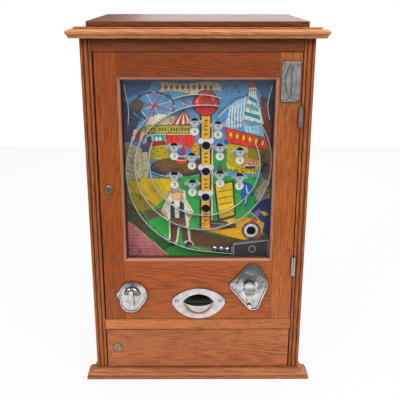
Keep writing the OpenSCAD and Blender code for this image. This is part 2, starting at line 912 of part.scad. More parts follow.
// Sloping tray behind the board, from the casing's foot to the coin tube
runway = [[199, chute_foot - 6], [tube_at[0] - tube_r - 5, tube_z[1] + 1]];
runway_y = [tube_at[1] - tube_r - 2.5, tube_at[1] + tube_r + 4.5];
runway_t = 1.5;
module coin_runway() {
    kerb = [0, 7];
    under = [0, -runway_t];
    slope = (runway[0][1] - runway[1][1]) / (runway[0][0] - runway[1][0]);
    color(steel) difference() {
        union() {
            slab(runway_y[1], runway_y[1] - runway_y[0]) polygon([
                runway[0] + under, runway[1] + under, runway[1] + kerb, runway[0] + kerb]);
            for (x = [20, 130]) {
                z = runway[1][1] + (x - runway[1][0]) * slope;
                block([x - 6, play_y + board_t, z + 1], [x + 6, runway_y[0] + runway_t / 2, z + 5]);
            }
        }
        slab(runway_y[1] - runway_t, runway_y[1] - runway_y[0] - 2 * runway_t) polygon([
            runway[0] + [e, 0], runway[1] - [e, 0],
            runway[1] + 2 * kerb - [e, 0], runway[0] + 2 * kerb + [e, 0]]);
        translate([tube_at[0], tube_at[1], tube_z[1] - 30]) cylinder(r = tube_r, h = 60);
    }
}

// Upright tube that stores the coins to be paid out, its mouth cut to the tray's slope
module coin_tube() {
    wall = 1.5;
    drop = [0, -runway_t - 0.5];
    color("goldenrod") difference() {
        union() {
            translate([tube_at[0], tube_at[1], tube_z[0]])
                cylinder(r = tube_r + wall, h = tube_z[1] - tube_z[0] + 15);
            block([tube_at[0] - 10, mech_y + mech_t, 252],
                  [tube_at[0] + 10, tube_at[1] - tube_r, 268]);
        }
        translate([tube_at[0], tube_at[1], tube_z[0] - e])
            cylinder(r = tube_r, h = tube_z[1] - tube_z[0] + 20);
        block([tube_at[0] - 4, tube_at[1], tube_z[0] + 8],
              [tube_at[0] + 4, tube_at[1] + 30, tube_z[1] - 10]);
        slab(200, 200) polygon([runway[0] + drop, runway[1] + drop,
                                runway[1] + [0, 200], runway[0] + [0, 200]]);
    }
}

// Shelf that the payout slide runs on, with the hole that a coin drops through
bed_split_x = -98;
module payout_bed() {
    color(steel) difference() {
        union() {
            block([bed_split_x, mech_y + mech_t, bed_z], [44, 93, bed_z + bed_t]);
            block([-182, 60, bed_z], [bed_split_x, 93, bed_z + bed_t]);
            block([-182, 86.5, bed_z], [tube_at[0] - tube_r - 4, 88, bed_z + 6]);
        }
        block([-28, 57, bed_z - e], [8, 90, bed_z + bed_t + e]);
    }
}

// Sloping trough that brings a paid coin forward to the cup
module payout_chute() {
    wall = 1.5;
    side = [[door_t, payout_z[0]], [door_t, payout_z[1] - 1], [52, bed_z], [93, bed_z], [93, 222]];
    color(steel) {
        for (x = [payout_x[0], payout_x[1] - wall]) across(x, x + wall) polygon(side);
        across(payout_x[0], payout_x[1]) polygon([
            [door_t, payout_z[0]], [93, 222], [93, 222 + wall], [door_t, payout_z[0] + wall]]);
        block([payout_x[0], 93 - wall, 222], [payout_x[1], 93, bed_z]);
    }
}

// ---- Mechanism ----

// Folded bracket that carries the inner ends of both spindles
module mech_plate() {
    foot = 13;
    color(steel) difference() {
        union() {
            block([-mech_x, mech_y, mech_z[0]], [mech_x, mech_y + mech_t, mech_z[1]]);
            for (s = [-1, 1]) {
                block([min(s * mech_x, s * (mech_x - mech_t)), door_t, mech_z[0]],
                      [max(s * mech_x, s * (mech_x - mech_t)), mech_y, 268]);
                block([min(s * mech_x, s * (mech_x + foot)), door_t, mech_z[0]],
                      [max(s * mech_x, s * (mech_x + foot)), door_t + mech_t, 268]);
            }
        }
        rod(trigger_at, spindle_r + shaft_gap, mech_y - e, mech_y + mech_t + e);
        rod(claim_at, spindle_r + shaft_gap, mech_y - e, mech_y + mech_t + e);
        block([payout_x[0] - 1, mech_y - e, 188], [payout_x[1] + 1, mech_y + mech_t + e, bed_z - 1]);
    }
}

// Finger lever: a rounded boss with a stem that hangs down to a knob
lever_y = [-15, -7.5];
module trigger_lever() {
    stem_end = 41;
    color(chrome) {
        slab(lever_y[1], lever_y[1] - lever_y[0]) translate(trigger_at) {
            intersection() {
                circle(16.5);
                translate([-14, -15]) square([27, 32]);
            }
            polygon([[-7, -12], [7, -12], [4, -stem_end], [-4, -stem_end]]);
            translate([0, -stem_end]) circle(5.5);
        }
        slab(lever_y[0] + 0.1, 2) translate(trigger_at) difference() {
            intersection() {
                circle(16.5);
                translate([-14, -15]) square([27, 32]);
            }
            intersection() {
                circle(14.2);
                translate([-11.8, -12.8]) square([22.6, 28]);
            }
        }
        rod(trigger_at - [0, stem_end], 5, -21, lever_y[0] + 0.1);
    }
}

module trigger_spindle() {
    color(steel) rod(trigger_at, spindle_r, lever_y[1], spindle_end);
}

kicker_y = [29, 35];
module kicker_arm() {
    hit = [76.4, 311];
    color(steel) difference() {
        union() {
            slab(kicker_y[1], kicker_y[1] - kicker_y[0]) {
                hull() {
                    translate(trigger_at) circle(9);
                    translate([86, 310]) circle(4.5);
                }
                translate([hit[0], hit[1] - 5.5]) square([9.6, 11]);
            }
            rod(trigger_at, 9, kicker_y[0] - 0.8, kicker_y[1] + 4);
        }
        rod(trigger_at, spindle_r, kicker_y[0] - e - 1, kicker_y[1] + 5);
    }
}

// Torsion spring round the spindle, between the door and the kicker
module trigger_spring() {
    wire_r = 0.75;
    coil_r = 6.4;
    turns = 4;
    color("dimgray") for (i = [0:turns - 1])
        translate([trigger_at[0], door_t + 1.2 + wire_r + i * 2 * wire_r, trigger_at[1]])
            rotate([90, 0, 0]) rotate_extrude() translate([coil_r, 0]) circle(wire_r);
}

// Claim knob on its spindle, with a crank behind the bracket
crank_start = -45;
crank_y = [48.5, 52.5];
crank_pin_r = 3;
module claim_knob() {
    dome_r = 19.5;
    pin_at = claim_at + crank_throw * [sin(crank_start), cos(crank_start)];
    color(chrome) {
        translate([claim_at[0], -plate_t - 3, claim_at[1]]) rotate([90, 0, 0]) rotate_extrude()
            polygon(concat([[0, 0], [dome_r, 0], [dome_r, 2]],
                           [for (a = [10:10:90]) [dome_r * cos(a), 2 + 5 * sin(a)]]));
        slab(-plate_t - 4, 17) translate(claim_at) {
            translate([-5, -20]) square([10, 36]);
            translate([0, -20]) circle(6.5);
            translate([0, 15]) circle(5);
        }
        rod(claim_at, spindle_r, -plate_t - 3.5, crank_y[1]);
        slab(crank_y[1], crank_y[1] - crank_y[0]) {
            translate(claim_at) circle(7);
            translate(pin_at) circle(5);
            translate(claim_at) rotate(-crank_start) translate([-4, 0]) square([8, crank_throw]);
        }
        rod(pin_at, crank_pin_r, crank_y[1] - e, 60);
    }
}

// Slide that pushes the lowest coin off the bed; the crank's pin drives its fork
module payout_slide() {
    pin_x = claim_at[0] + crank_throw * sin(crank_start);
    slide_z = [bed_z + bed_t + 0.3, bed_z + bed_t + 0.3 + slide_t - 0.3];
    slot_half = crank_pin_r + 1.15;
    fork_y = [54, 58];
    color("lightsteelblue") {
        block([pin_x - 9, fork_y[0], slide_z[0]],
              [tube_at[0] - tube_r - 0.8, 86, slide_z[1]]);
        slab(fork_y[1], fork_y[1] - fork_y[0]) difference() {
            translate([pin_x - 9, 217]) square([18, slide_z[0] - 217 + 0.5]);
            translate([pin_x - slot_half, claim_at[1] + 10.5]) square([2 * slot_half, 16.5]);
        }
    }
}

plinth();
cornice();
face_stile_left();
face_stile_right();
face_top_rail();
face_mid_rail();
side_panel_left();
side_panel_right();
top_board();
base_board();
back_board();
cash_shelf();
cash_box();
hinge_leaves_fixed();
lock_strikes();
cash_door_panel();
cash_door_pivots();
cash_lock_barrel();
cash_lock_plug();
door_stile_left();
door_stile_right();
door_top_rail();
door_bottom_rail();
window_moulding();
window_glass();
hinge_leaves_moving();
door_lock_barrel();
door_lock_plug();
playfield_board();
playfield_surround();
track_outer();
track_middle();
track_inner();
track_top();
win_cups();
number_discs();
hole_rims();
buffer();
side_guards();
launcher_cover();
steel_balls();
leading_ball();
ball_gate();
coin_plate();
payout_cup();
trigger_plate();
knob_plate();
plate_screws();
coin_chute();
coin_runway();
coin_tube();
payout_bed();
payout_chute();
mech_plate();
trigger_lever();
trigger_spindle();
kicker_arm();
trigger_spring();
claim_knob();
payout_slide();
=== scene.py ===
import json
from math import cos, hypot, pi, radians, sin

import bmesh
import bpy
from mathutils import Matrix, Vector
from mathutils.geometry import delaunay_2d_cdt


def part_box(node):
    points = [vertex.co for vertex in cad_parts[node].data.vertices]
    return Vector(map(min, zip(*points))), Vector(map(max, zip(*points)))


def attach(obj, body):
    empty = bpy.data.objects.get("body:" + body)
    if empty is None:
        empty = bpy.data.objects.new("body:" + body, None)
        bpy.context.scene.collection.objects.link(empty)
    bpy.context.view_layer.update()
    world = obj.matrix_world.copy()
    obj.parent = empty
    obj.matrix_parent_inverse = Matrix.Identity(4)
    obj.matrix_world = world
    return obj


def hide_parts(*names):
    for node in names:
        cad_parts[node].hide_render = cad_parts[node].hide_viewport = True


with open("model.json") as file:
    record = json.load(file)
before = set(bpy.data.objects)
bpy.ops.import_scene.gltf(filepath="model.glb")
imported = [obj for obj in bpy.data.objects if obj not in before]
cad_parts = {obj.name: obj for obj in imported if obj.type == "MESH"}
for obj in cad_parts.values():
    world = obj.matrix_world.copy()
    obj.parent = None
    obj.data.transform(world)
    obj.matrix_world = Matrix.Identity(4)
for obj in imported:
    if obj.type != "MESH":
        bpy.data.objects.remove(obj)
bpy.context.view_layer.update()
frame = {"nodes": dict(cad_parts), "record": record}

# ---- Studio: the machine stands on a white table in a plain white room. Soft boxes
# light it from the front, and the room beyond the table's front edge is dim, which
# is what the plated fittings mirror.
scene = bpy.context.scene
scene.view_settings.view_transform = "Standard"
camera_data = bpy.data.cameras.new("camera")
camera_data.lens = 57.65
camera_data.clip_end = 50
camera = bpy.data.objects.new("camera", camera_data)
camera.location = (-0.0025, -1.3275, 0.8863)
camera.rotation_euler = (radians(71.46), -0.0011, -0.0051)
scene.collection.objects.link(camera)
scene.camera = camera


def soft_box(name, place, aim, size, watts, tint=(1, 1, 1)):
    """Hangs a rectangular lamp at a place, turned to face a point."""
    lamp = bpy.data.lights.new(name, "AREA")
    lamp.shape = "RECTANGLE"
    lamp.size, lamp.size_y = size
    lamp.energy = watts
    lamp.color = tint
    hung = bpy.data.objects.new(name, lamp)
    hung.location = place
    hung.rotation_euler = (Vector(aim) - Vector(place)).to_track_quat("-Z", "Y").to_euler()
    scene.collection.objects.link(hung)


soft_box("box_left", (-1.2, -1.5, 2.1), (0, 0, 0.42), (1.0, 1.3), 34, (1, 0.98, 0.96))
soft_box("box_right", (1.3, -1.4, 2.0), (0, 0, 0.42), (1.0, 1.2), 26, (0.96, 0.98, 1))
soft_box("box_front", (0.1, -2.6, 2.2), (0, 0, 0.45), (1.4, 0.7), 15)
soft_box("box_top", (0, 0.0, 2.4), (0, 0.1, 0), (1.6, 1.4), 15)
soft_box("box_back", (0.4, 2.2, 1.5), (0, 0.3, 0.3), (1.6, 1.2), 20)


def wire(tree, kind, inputs=(), **options):
    """Adds a shader node, sets its options, and feeds its inputs with values or sockets."""
    made = tree.nodes.new("ShaderNode" + kind)
    for option, value in options.items():
        setattr(made, option, value)
    for name, value in dict(inputs).items():
        if isinstance(value, bpy.types.NodeSocket):
            tree.links.new(value, made.inputs[name])
        else:
            made.inputs[name].default_value = value
    return made


def ramp(tree, fac, *stops):
    """A colour ramp through (place, colour) stops; a bare number is a grey."""
    made = wire(tree, "ValToRGB", {"Fac": fac})
    for i, (place, tint) in enumerate(stops):
        stop = made.color_ramp.elements[i] if i < 2 else made.color_ramp.elements.new(place)
        stop.position = place
        stop.color = (*([tint] * 3 if isinstance(tint, (int, float)) else tint), 1)
    return made.outputs["Color"]


air = bpy.data.worlds.new("studio_air")
scene.world = air
air.use_nodes = True
sky = air.node_tree
sky.nodes.clear()
up = wire(sky, "SeparateXYZ", {"Vector": wire(sky, "TexCoord").outputs["Generated"]}).outputs["Z"]
room = ramp(sky, wire(sky, "MapRange", {"Value": up, "From Min": -1.0}).outputs["Result"],
            (0.0, 0.12), (0.30, (0.14, 0.16, 0.19)), (0.38, (0.22, 0.23, 0.25)), (0.44, 0.42), (0.54, 0.42),
            (0.64, 0.16), (0.8, 0.2), (1.0, 0.8))
dim = wire(sky, "Background", {"Color": room, "Strength": 1.0})
white = wire(sky, "Background", {"Color": (1, 1, 1, 1), "Strength": 1.0})
seen = wire(sky, "LightPath").outputs["Is Camera Ray"]
sight = wire(sky, "MixShader", {0: seen, 1: dim.outputs[0], 2: white.outputs[0]})
wire(sky, "OutputWorld", {"Surface": sight.outputs[0]})


def bare(name):
    """Starts a material with an empty node tree."""
    made = bpy.data.materials.new(name)
    made.use_nodes = True
    made.node_tree.nodes.clear()
    return made


bpy.ops.object.select_all(action="DESELECT")
bpy.ops.mesh.primitive_plane_add(size=1, location=(0, 0.9, -0.0005))
table = bpy.context.object
table.name = "table"
table.scale = (3.2, 2.8, 1)
bpy.ops.object.transform_apply(location=True, scale=True)
table_white = bare("table_white")
tree = table_white.node_tree
lit = wire(tree, "BsdfPrincipled", {"Base Color": (0.74, 0.74, 0.74, 1), "Roughness": 0.6})
glow = wire(tree, "Emission", {"Color": (1, 1, 1, 1), "Strength": 1.0})
seen = wire(tree, "LightPath").outputs["Is Camera Ray"]
share = wire(tree, "Math", {0: seen, 1: 0.88}, operation="MULTIPLY").outputs[0]
both = wire(tree, "MixShader", {0: share, 1: lit.outputs[0], 2: glow.outputs[0]})
wire(tree, "OutputMaterial", {"Surface": both.outputs[0]})
table.data.materials.append(table_white)


# ---- Oak case: quarter and plain sawn oak boards, stained golden brown and varnished.
# Each board's grain runs along its length, and no two boards show the same figure.
nodes = frame["nodes"]
mm = 0.001


def from_srgb(*tint):
    """A colour given as 0 to 255 display values, as the linear colour that a shader takes."""
    return tuple((v / 255 / 12.92) if v < 10.3 else ((v / 255 + 0.055) / 1.055) ** 2.4 for v in tint)


def group(name, ins, outs):
    """Starts a shader node group with (type, name, value) inputs and (type, name) outputs."""
    made = bpy.data.node_groups.new(name, "ShaderNodeTree")
    for kind, label, value in ins:
        socket = made.interface.new_socket(label, in_out="INPUT", socket_type="NodeSocket" + kind)
        if value is not None:
            socket.default_value = value
    for kind, label in outs:
        made.interface.new_socket(label, in_out="OUTPUT", socket_type="NodeSocket" + kind)
    return made, made.nodes.new("NodeGroupInput"), made.nodes.new("NodeGroupOutput")


def mixed(tree, a, b, fac, way="MIX"):
    """Mixes two colours."""
    made = wire(tree, "Mix", data_type="RGBA", blend_type=way)
    factor, first, second = made.inputs[0], made.inputs[6], made.inputs[7]
    for socket, value in ((factor, fac), (first, a), (second, b)):
        if isinstance(value, bpy.types.NodeSocket):
            tree.links.new(value, socket)
        else:
            socket.default_value = value if isinstance(value, (int, float)) else (*value, 1)
    return made.outputs[2]


def figured(tree, kind, low, high, **inputs):
    """A maths step between two values or sockets."""
    return wire(tree, "Math", {0: low, 1: high}, operation=kind, **inputs).outputs[0]


def noise(tree, vector, scale, detail=3.0, rough=0.5, warp=0.0):
    """Soft cloudy noise, from 0 to 1."""
    return wire(tree, "TexNoise", {"Vector": vector, "Scale": scale, "Detail": detail,
                                   "Roughness": rough, "Distortion": warp}).outputs["Fac"]


def stretched(tree, vector, *scale):
    """A place scaled along each axis, which draws a pattern out along the smallest one."""
    return wire(tree, "VectorMath", {0: vector, 1: scale}, operation="MULTIPLY").outputs[0]


# Grain along the input's Z: growth rings cut at a slant, long streaks, pores and flecks
grain, g_in, g_out = group("oak_grain", [
    ("Vector", "Vector", None), ("Color", "Dark", (0.1, 0.03, 0.01, 1)),
    ("Color", "Light", (0.5, 0.2, 0.06, 1)), ("Float", "Figure", 0.5), ("Float", "Pores", 0.5),
], [("Color", "Color"), ("Float", "Height"), ("Float", "Roughness")])
place = g_in.outputs["Vector"]
drift = wire(grain, "TexNoise", {"Vector": stretched(grain, place, 1, 1, 0.22), "Scale": 9.0,
                                 "Detail": 2.0}).outputs["Color"]
drift = wire(grain, "VectorMath", {0: drift, 1: (0.5, 0.5, 0.5)}, operation="SUBTRACT").outputs[0]
bent = wire(grain, "VectorMath", {0: drift, 1: (0.018, 0.018, 0.0), 2: place},
            operation="MULTIPLY_ADD").outputs[0]
rings = wire(grain, "TexWave", {"Vector": stretched(grain, bent, 1, 1, 0.05), "Scale": 75.0,
                                "Distortion": 1.6, "Detail": 3.0, "Detail Scale": 1.5},
             wave_type="RINGS", rings_direction="Z", wave_profile="SIN").outputs["Fac"]
broken = noise(grain, stretched(grain, bent, 1, 1, 0.1), 30.0, 2.0)
rings = figured(grain, "MULTIPLY", rings, broken)
streak = noise(grain, stretched(grain, bent, 1, 1, 0.014), 420.0, 4.0, 0.65)
blotch = noise(grain, stretched(grain, place, 1, 1, 0.35), 7.0, 2.0)
pore = noise(grain, stretched(grain, bent, 1, 1, 0.035), 620.0, 2.0, 0.4)
pore = wire(grain, "MapRange", {"Value": pore, "From Min": 0.56, "From Max": 0.68}).outputs["Result"]
flame = figured(grain, "MULTIPLY", rings, g_in.outputs["Figure"])
body = figured(grain, "ADD", flame, figured(grain, "MULTIPLY", streak, 1.05))
body = figured(grain, "ADD", body, figured(grain, "MULTIPLY", blotch, 0.5))
tone = wire(grain, "MapRange", {"Value": body, "From Min": 0.53, "From Max": 1.20}).outputs["Result"]
tinted = mixed(grain, g_in.outputs["Light"], g_in.outputs["Dark"], tone)
pore_share = figured(grain, "MULTIPLY", pore, g_in.outputs["Pores"])
tinted = mixed(grain, tinted, from_srgb(70, 34, 16), pore_share)
grain.links.new(tinted, g_out.inputs["Color"])
grain.links.new(figured(grain, "SUBTRACT", figured(grain, "MULTIPLY", streak, 0.3), pore_share),
                g_out.inputs["Height"])
grain.links.new(wire(grain, "MapRange", {"Value": streak, "To Min": 0.36, "To Max": 0.52}).outputs["Result"],
                g_out.inputs["Roughness"])

# Dirt and old varnish in corners and quirks, with painted shade there too, from ambient occlusion
grime_and_shade, g_in, g_out = group("grime_and_shade", [
    ("Color", "Clean", (0.5, 0.5, 0.5, 1)), ("Color", "Dirt", (0.03, 0.02, 0.01, 1)),
    ("Float", "Reach", 0.006), ("Float", "Amount", 0.6)], [("Color", "Color"), ("Float", "Mask")])
shade = wire(grime_and_shade, "AmbientOcclusion", {"Distance": g_in.outputs["Reach"]}, samples=6).outputs["AO"]
patchy = noise(grime_and_shade, wire(grime_and_shade, "TexCoord").outputs["Object"], 60.0, 3.0, 0.6)
dirt_and_shade_mask = wire(grime_and_shade, "MapRange", {"Value": shade, "From Min": 1.0, "From Max": 0.35}).outputs["Result"]
dirt_and_shade_mask = figured(grime_and_shade, "MULTIPLY", dirt_and_shade_mask, figured(grime_and_shade, "ADD", patchy, 0.45))
dirt_and_shade_mask = wire(grime_and_shade, "Clamp", {"Value": figured(grime_and_shade, "MULTIPLY", dirt_and_shade_mask, g_in.outputs["Amount"])}).outputs[0]
grime_and_shade.links.new(mixed(grime_and_shade, g_in.outputs["Clean"], g_in.outputs["Dirt"], dirt_and_shade_mask), g_out.inputs["Color"])
grime_and_shade.links.new(dirt_and_shade_mask, g_out.inputs["Mask"])


def place_group(tree, tool, **inputs):
    """Puts a node group in a material, its inputs named with _ for a space."""
    made = tree.nodes.new("ShaderNodeGroup")
    made.node_tree = tool
    for name, value in inputs.items():
        socket = made.inputs[name.replace("_", " ")]
        if isinstance(value, bpy.types.NodeSocket):
            tree.links.new(value, socket)
        else:
            is_tint = isinstance(value, tuple) and socket.type == "RGBA"
            socket.default_value = (*value, 1) if is_tint else value
    return made


def surfaced(made, colour, rough, height=None, bump=0.2, depth=0.0003, **fixed):
    """Ends a material in a Principled shader, with bump from a height."""
    tree = made.node_tree
    feed = {"Base Color": colour, "Roughness": rough}
    if height is not None:
        feed["Normal"] = wire(tree, "Bump", {"Height": height, "Strength": bump,
                                             "Distance": depth}).outputs[0]
    feed.update({name.replace("_", " "): value for name, value in fixed.items()})
    shader = wire(tree, "BsdfPrincipled", feed)
    wire(tree, "OutputMaterial", {"Surface": shader.outputs[0]})
    return shader


moulding_return_x = 0.24
upright_x = 0.16


def oak(name, along, light, dark, shift=(0, 0, 0), slant=3, figure=0.34, pores=0.6, returns="",
        recess_shade=0.0, gloss=0.12):
    """Varnished oak whose grain runs along X, Y or Z. The ends of a moulding may return along Y,
    and the uprights of a frame along Z. Recess shade is painted shade on what lies behind the front face."""
    made = bare(name)
    tree = made.node_tree
    turn = {"X": (0, radians(90), 0), "Y": (radians(90), 0, 0), "Z": (0, 0, 0)}
    object_place = wire(tree, "TexCoord").outputs["Object"]
    lean = radians(slant)

    def run(way):
        turned = wire(tree, "Mapping", {"Vector": object_place, "Rotation": turn[way]}).outputs[0]
        return wire(tree, "Mapping", {"Vector": turned, "Location": shift,
                                      "Rotation": (lean, -lean, 0)}).outputs[0]

    vector = run(along)
    parts = wire(tree, "SeparateXYZ", {"Vector": object_place})
    if returns:
        side = figured(tree, "ABSOLUTE", parts.outputs["X"], 0)
        if returns == "Y":
            side = figured(tree, "ADD", side, parts.outputs["Y"])
        side = figured(tree, "GREATER_THAN", side, moulding_return_x if returns == "Y" else upright_x)
        either = wire(tree, "Mix", {0: side, 4: vector, 5: run(returns)}, data_type="VECTOR")
        vector = either.outputs[1]
    wood = place_group(tree, grain, Vector=vector, Light=light, Dark=dark, Figure=figure, Pores=pores)
    # Dirt and old varnish with painted shade in corners and quirks
    aged_and_shaded = place_group(tree, grime_and_shade, Clean=wood.outputs["Color"], Dirt=from_srgb(38, 17, 8),
                       Reach=0.005, Amount=0.9)
    shown = aged_and_shaded.outputs["Color"]
    # Painted shade: faces 4 to 9 mm behind the front face are darkened towards dark brown, as shade in the
    # recess.
    if recess_shade:
        deep = wire(tree, "MapRange", {"Value": parts.outputs["Y"], "From Min": 4 * mm,
                                       "From Max": 9 * mm, "To Max": recess_shade}).outputs["Result"]
        shown = mixed(tree, shown, from_srgb(34, 20, 14), deep)
    surfaced(made, shown, wood.outputs["Roughness"], wood.outputs["Height"],
             0.35, 0.00025, Coat_Weight=gloss, Coat_Roughness=0.18, Specular_IOR_Level=gloss * 2.5)
    return made


def dress(material, *names):
    """Gives CAD nodes one material in every slot."""
    for name in names:
        nodes[name].data.materials.clear()
        nodes[name].data.materials.append(material)


boards = [
    ("plinth", "X", (196, 126, 74), (120, 60, 28), (0.31, 0.012, 0.2), "Y"),
    # The cornice is stained lighter, partly as painted highlight on the moulding.
    ("cornice", "X", (222, 152, 100), (150, 80, 42), (0.02, 0.24, 0.07), "Y"),
    ("face_stile_left", "Z", (188, 108, 56), (112, 52, 24), (0.27, 0.03, 0.5), ""),
    ("face_stile_right", "Z", (190, 110, 58), (118, 56, 26), (-0.2, 0.05, 0.1), ""),
    # The top rails are stained darker, partly as painted shade from the cornice above.
    ("face_top_rail", "X", (146, 76, 34), (90, 40, 16), (0.13, 0.02, 0.9), ""),
    ("face_mid_rail", "X", (212, 132, 74), (156, 84, 42), (0.1, 0.03, 0.4), ""),
    ("side_panel_left", "Z", (184, 110, 60), (112, 54, 26), (0.26, -0.17, 0.0), ""),
    ("side_panel_right", "Z", (184, 110, 60), (112, 54, 26), (-0.19, -0.14, 0.3), ""),
    ("cash_door_panel", "X", (200, 122, 68), (126, 60, 26), (-0.05, 0.02, 0.33), ""),
    ("door_stile_left", "Z", (178, 90, 32), (108, 44, 12), (0.2, 0.02, 0.12), ""),
    ("door_stile_right", "Z", (196, 110, 50), (124, 58, 22), (-0.165, 0.03, 0.35), ""),
    # Darker, partly as painted shade from the cornice above, as on the face top rail.
    ("door_top_rail", "X", (154, 74, 26), (94, 38, 10), (-0.70, 0.02, 0.1), ""),
]
for name, along, light, dark, shift, returns in boards:
    dress(oak("oak_" + name, along, from_srgb(*light), from_srgb(*dark), shift, returns=returns), name)
for name, shift in (("base_board", (0.1, 0.1, 0)), ("back_board", (0.05, 0.3, 0.2)),
                    ("cash_shelf", (0, 0.1, 0.5))):
    deal = oak("deal_" + name, "X", from_srgb(165, 118, 72), from_srgb(112, 72, 40), shift,
               slant=2, figure=0.35, pores=0.1)
    dress(deal, name)
# The top board is stained darker, partly as painted shade on its top face.
dress(oak("oak_top_board", "X", from_srgb(122, 72, 46), from_srgb(84, 44, 26),
          (-0.85, -0.1, 0.02), gloss=0.02), "top_board")
dress(oak("oak_door_bottom_rail", "X", from_srgb(194, 104, 46), from_srgb(122, 54, 20),
          (-0.235, 0.04, 0.22), recess_shade=0.93), "door_bottom_rail")
dress(oak("oak_window_bead", "X", from_srgb(196, 136, 106), from_srgb(150, 88, 62), (0.3, 0.02, 0.1),
          figure=0.3, pores=0.3, returns="Z", recess_shade=0.9), "window_moulding")


# ---- Metals: chrome plate on the castings, drawn steel strip, zinc plated pressings,
# nickel and brass. Handling leaves dull patches, fine scratches and dark pits.
handled, g_in, g_out = group("handled_metal", [
    ("Color", "Metal", (0.7, 0.7, 0.7, 1)), ("Color", "Tarnish", (0.2, 0.18, 0.15, 1)),
    ("Float", "Tarnish Amount", 0.2), ("Float", "Polish", 0.1), ("Float", "Dullness", 0.2),
    ("Float", "Scale", 1.0)], [("Color", "Color"), ("Float", "Roughness"), ("Float", "Height"),
    ("Float", "Waves")])
at = wire(handled, "TexCoord").outputs["Object"]
sized = wire(handled, "VectorMath", {0: at, "Scale": g_in.outputs["Scale"]}, operation="SCALE").outputs[0]
smear = noise(handled, sized, 55.0, 4.0, 0.6, 0.6)
pit = wire(handled, "TexVoronoi", {"Vector": sized, "Scale": 420.0}).outputs["Distance"]
pit = wire(handled, "MapRange", {"Value": pit, "From Min": 0.2, "From Max": 0.05}).outputs["Result"]
sparse = wire(handled, "MapRange", {"Value": noise(handled, sized, 90.0, 2.0), "From Min": 0.52,
                                    "From Max": 0.62}).outputs["Result"]
pit = figured(handled, "MULTIPLY", pit, sparse)
scratch = noise(handled, stretched(handled, sized, 1, 1, 0.06), 900.0, 2.0)
worn = wire(handled, "MapRange", {"Value": smear, "From Min": 0.42, "From Max": 0.72}).outputs["Result"]
spot = figured(handled, "MAXIMUM", figured(handled, "MULTIPLY", worn, 0.6), pit)
spot = wire(handled, "Clamp", {"Value": figured(handled, "MULTIPLY", spot, g_in.outputs["Tarnish Amount"])})
handled.links.new(mixed(handled, g_in.outputs["Metal"], g_in.outputs["Tarnish"], spot.outputs[0]),
                  g_out.inputs["Color"])
dull = figured(handled, "MULTIPLY", worn, g_in.outputs["Dullness"])
handled.links.new(figured(handled, "ADD", dull, g_in.outputs["Polish"]), g_out.inputs["Roughness"])
handled.links.new(figured(handled, "SUBTRACT", figured(handled, "MULTIPLY", scratch, 0.25), pit),
                  g_out.inputs["Height"])
handled.links.new(noise(handled, sized, 42.0, 1.0, 0.4), g_out.inputs["Waves"])


def metal(name, colour, tarnish, polish=0.1, dullness=0.2, spots=0.25, size=1.0, dirt_and_shade=0.4,
          bare_share=1.0, front=None, waves=0.0):
    """Bare or plated metal with wear from the handled_metal group, and dirt with painted shade in its
    corners. A colour for the front is a painted highlight, on the faces that look forward. Waves are
    how far an old casting is from flat."""
    made = bare(name)
    tree = made.node_tree
    worn_metal = place_group(tree, handled, Metal=colour, Tarnish=tarnish, Tarnish_Amount=spots,
                             Polish=polish, Dullness=dullness, Scale=size)
    dirty_and_shaded = place_group(tree, grime_and_shade, Clean=worn_metal.outputs["Color"], Dirt=(0.02, 0.018, 0.016),
                        Reach=0.003, Amount=dirt_and_shade)
    shown, share = dirty_and_shaded.outputs["Color"], bare_share
    # Painted highlight: faces that look forward get the brighter front colour and less metallic.
    if front:
        normal = wire(tree, "NewGeometry").outputs["Normal"]
        facing = wire(tree, "SeparateXYZ", {"Vector": normal}).outputs["Y"]
        forward_mask = wire(tree, "MapRange", {"Value": facing, "From Min": -0.3, "From Max": -0.8})
        forward_mask = forward_mask.outputs["Result"]
        shown = mixed(tree, shown, front, forward_mask)
        share = wire(tree, "MapRange", {"Value": forward_mask, "To Min": bare_share, "To Max": 0.35})
        share = share.outputs["Result"]
    shader = surfaced(made, shown, worn_metal.outputs["Roughness"],
                      worn_metal.outputs["Height"], 0.1, 0.1 * mm, Metallic=share)
    if waves:
        uneven = wire(tree, "Bump", {"Height": worn_metal.outputs["Waves"], "Strength": waves,
                                     "Distance": 2.5 * mm})
        scratches = shader.inputs["Normal"].links[0].from_node
        tree.links.new(uneven.outputs[0], scratches.inputs["Normal"])
    return made


# The front colours below are painted highlights on forward faces; the dirt and shade amounts darken corners
# with dirt and painted shade.
chrome = metal("chrome", (0.72, 0.70, 0.69), (0.12, 0.11, 0.10), 0.07, 0.16, 0.8, 0.8, dirt_and_shade=1.0,
               waves=0.4)
strip_steel = metal("strip_steel", (0.70, 0.70, 0.70), (0.36, 0.34, 0.3), 0.13, 0.2, 0.4, dirt_and_shade=0.5,
                    bare_share=0.92, front=(0.84, 0.85, 0.86))
cup_plate = metal("cup_plate", (0.50, 0.52, 0.55), (0.05, 0.05, 0.07), 0.16, 0.2, 1.0, 2.6, dirt_and_shade=1.0,
                  bare_share=0.7, front=(0.60, 0.62, 0.66), waves=0.3)
crown_plate = metal("crown_plate", (0.86, 0.86, 0.88), (0.10, 0.09, 0.10), 0.14, 0.2, 0.7, 2.0,
                    dirt_and_shade=0.9, bare_share=0.4, front=(0.88, 0.87, 0.88))
zinc = metal("zinc_plate", (0.58, 0.59, 0.60), (0.4, 0.38, 0.33), 0.32, 0.2, 0.5)
spring_wire = metal("spring_wire", (0.26, 0.25, 0.24), (0.1, 0.07, 0.05), 0.3, 0.2, 0.5)
nickel = metal("nickel", (0.52, 0.47, 0.40), (0.2, 0.14, 0.09), 0.22, 0.2, 0.6, dirt_and_shade=0.8)
aged_brass = metal("aged_brass", (0.42, 0.33, 0.22), (0.10, 0.07, 0.05), 0.3, 0.25, 0.8, dirt_and_shade=0.8)
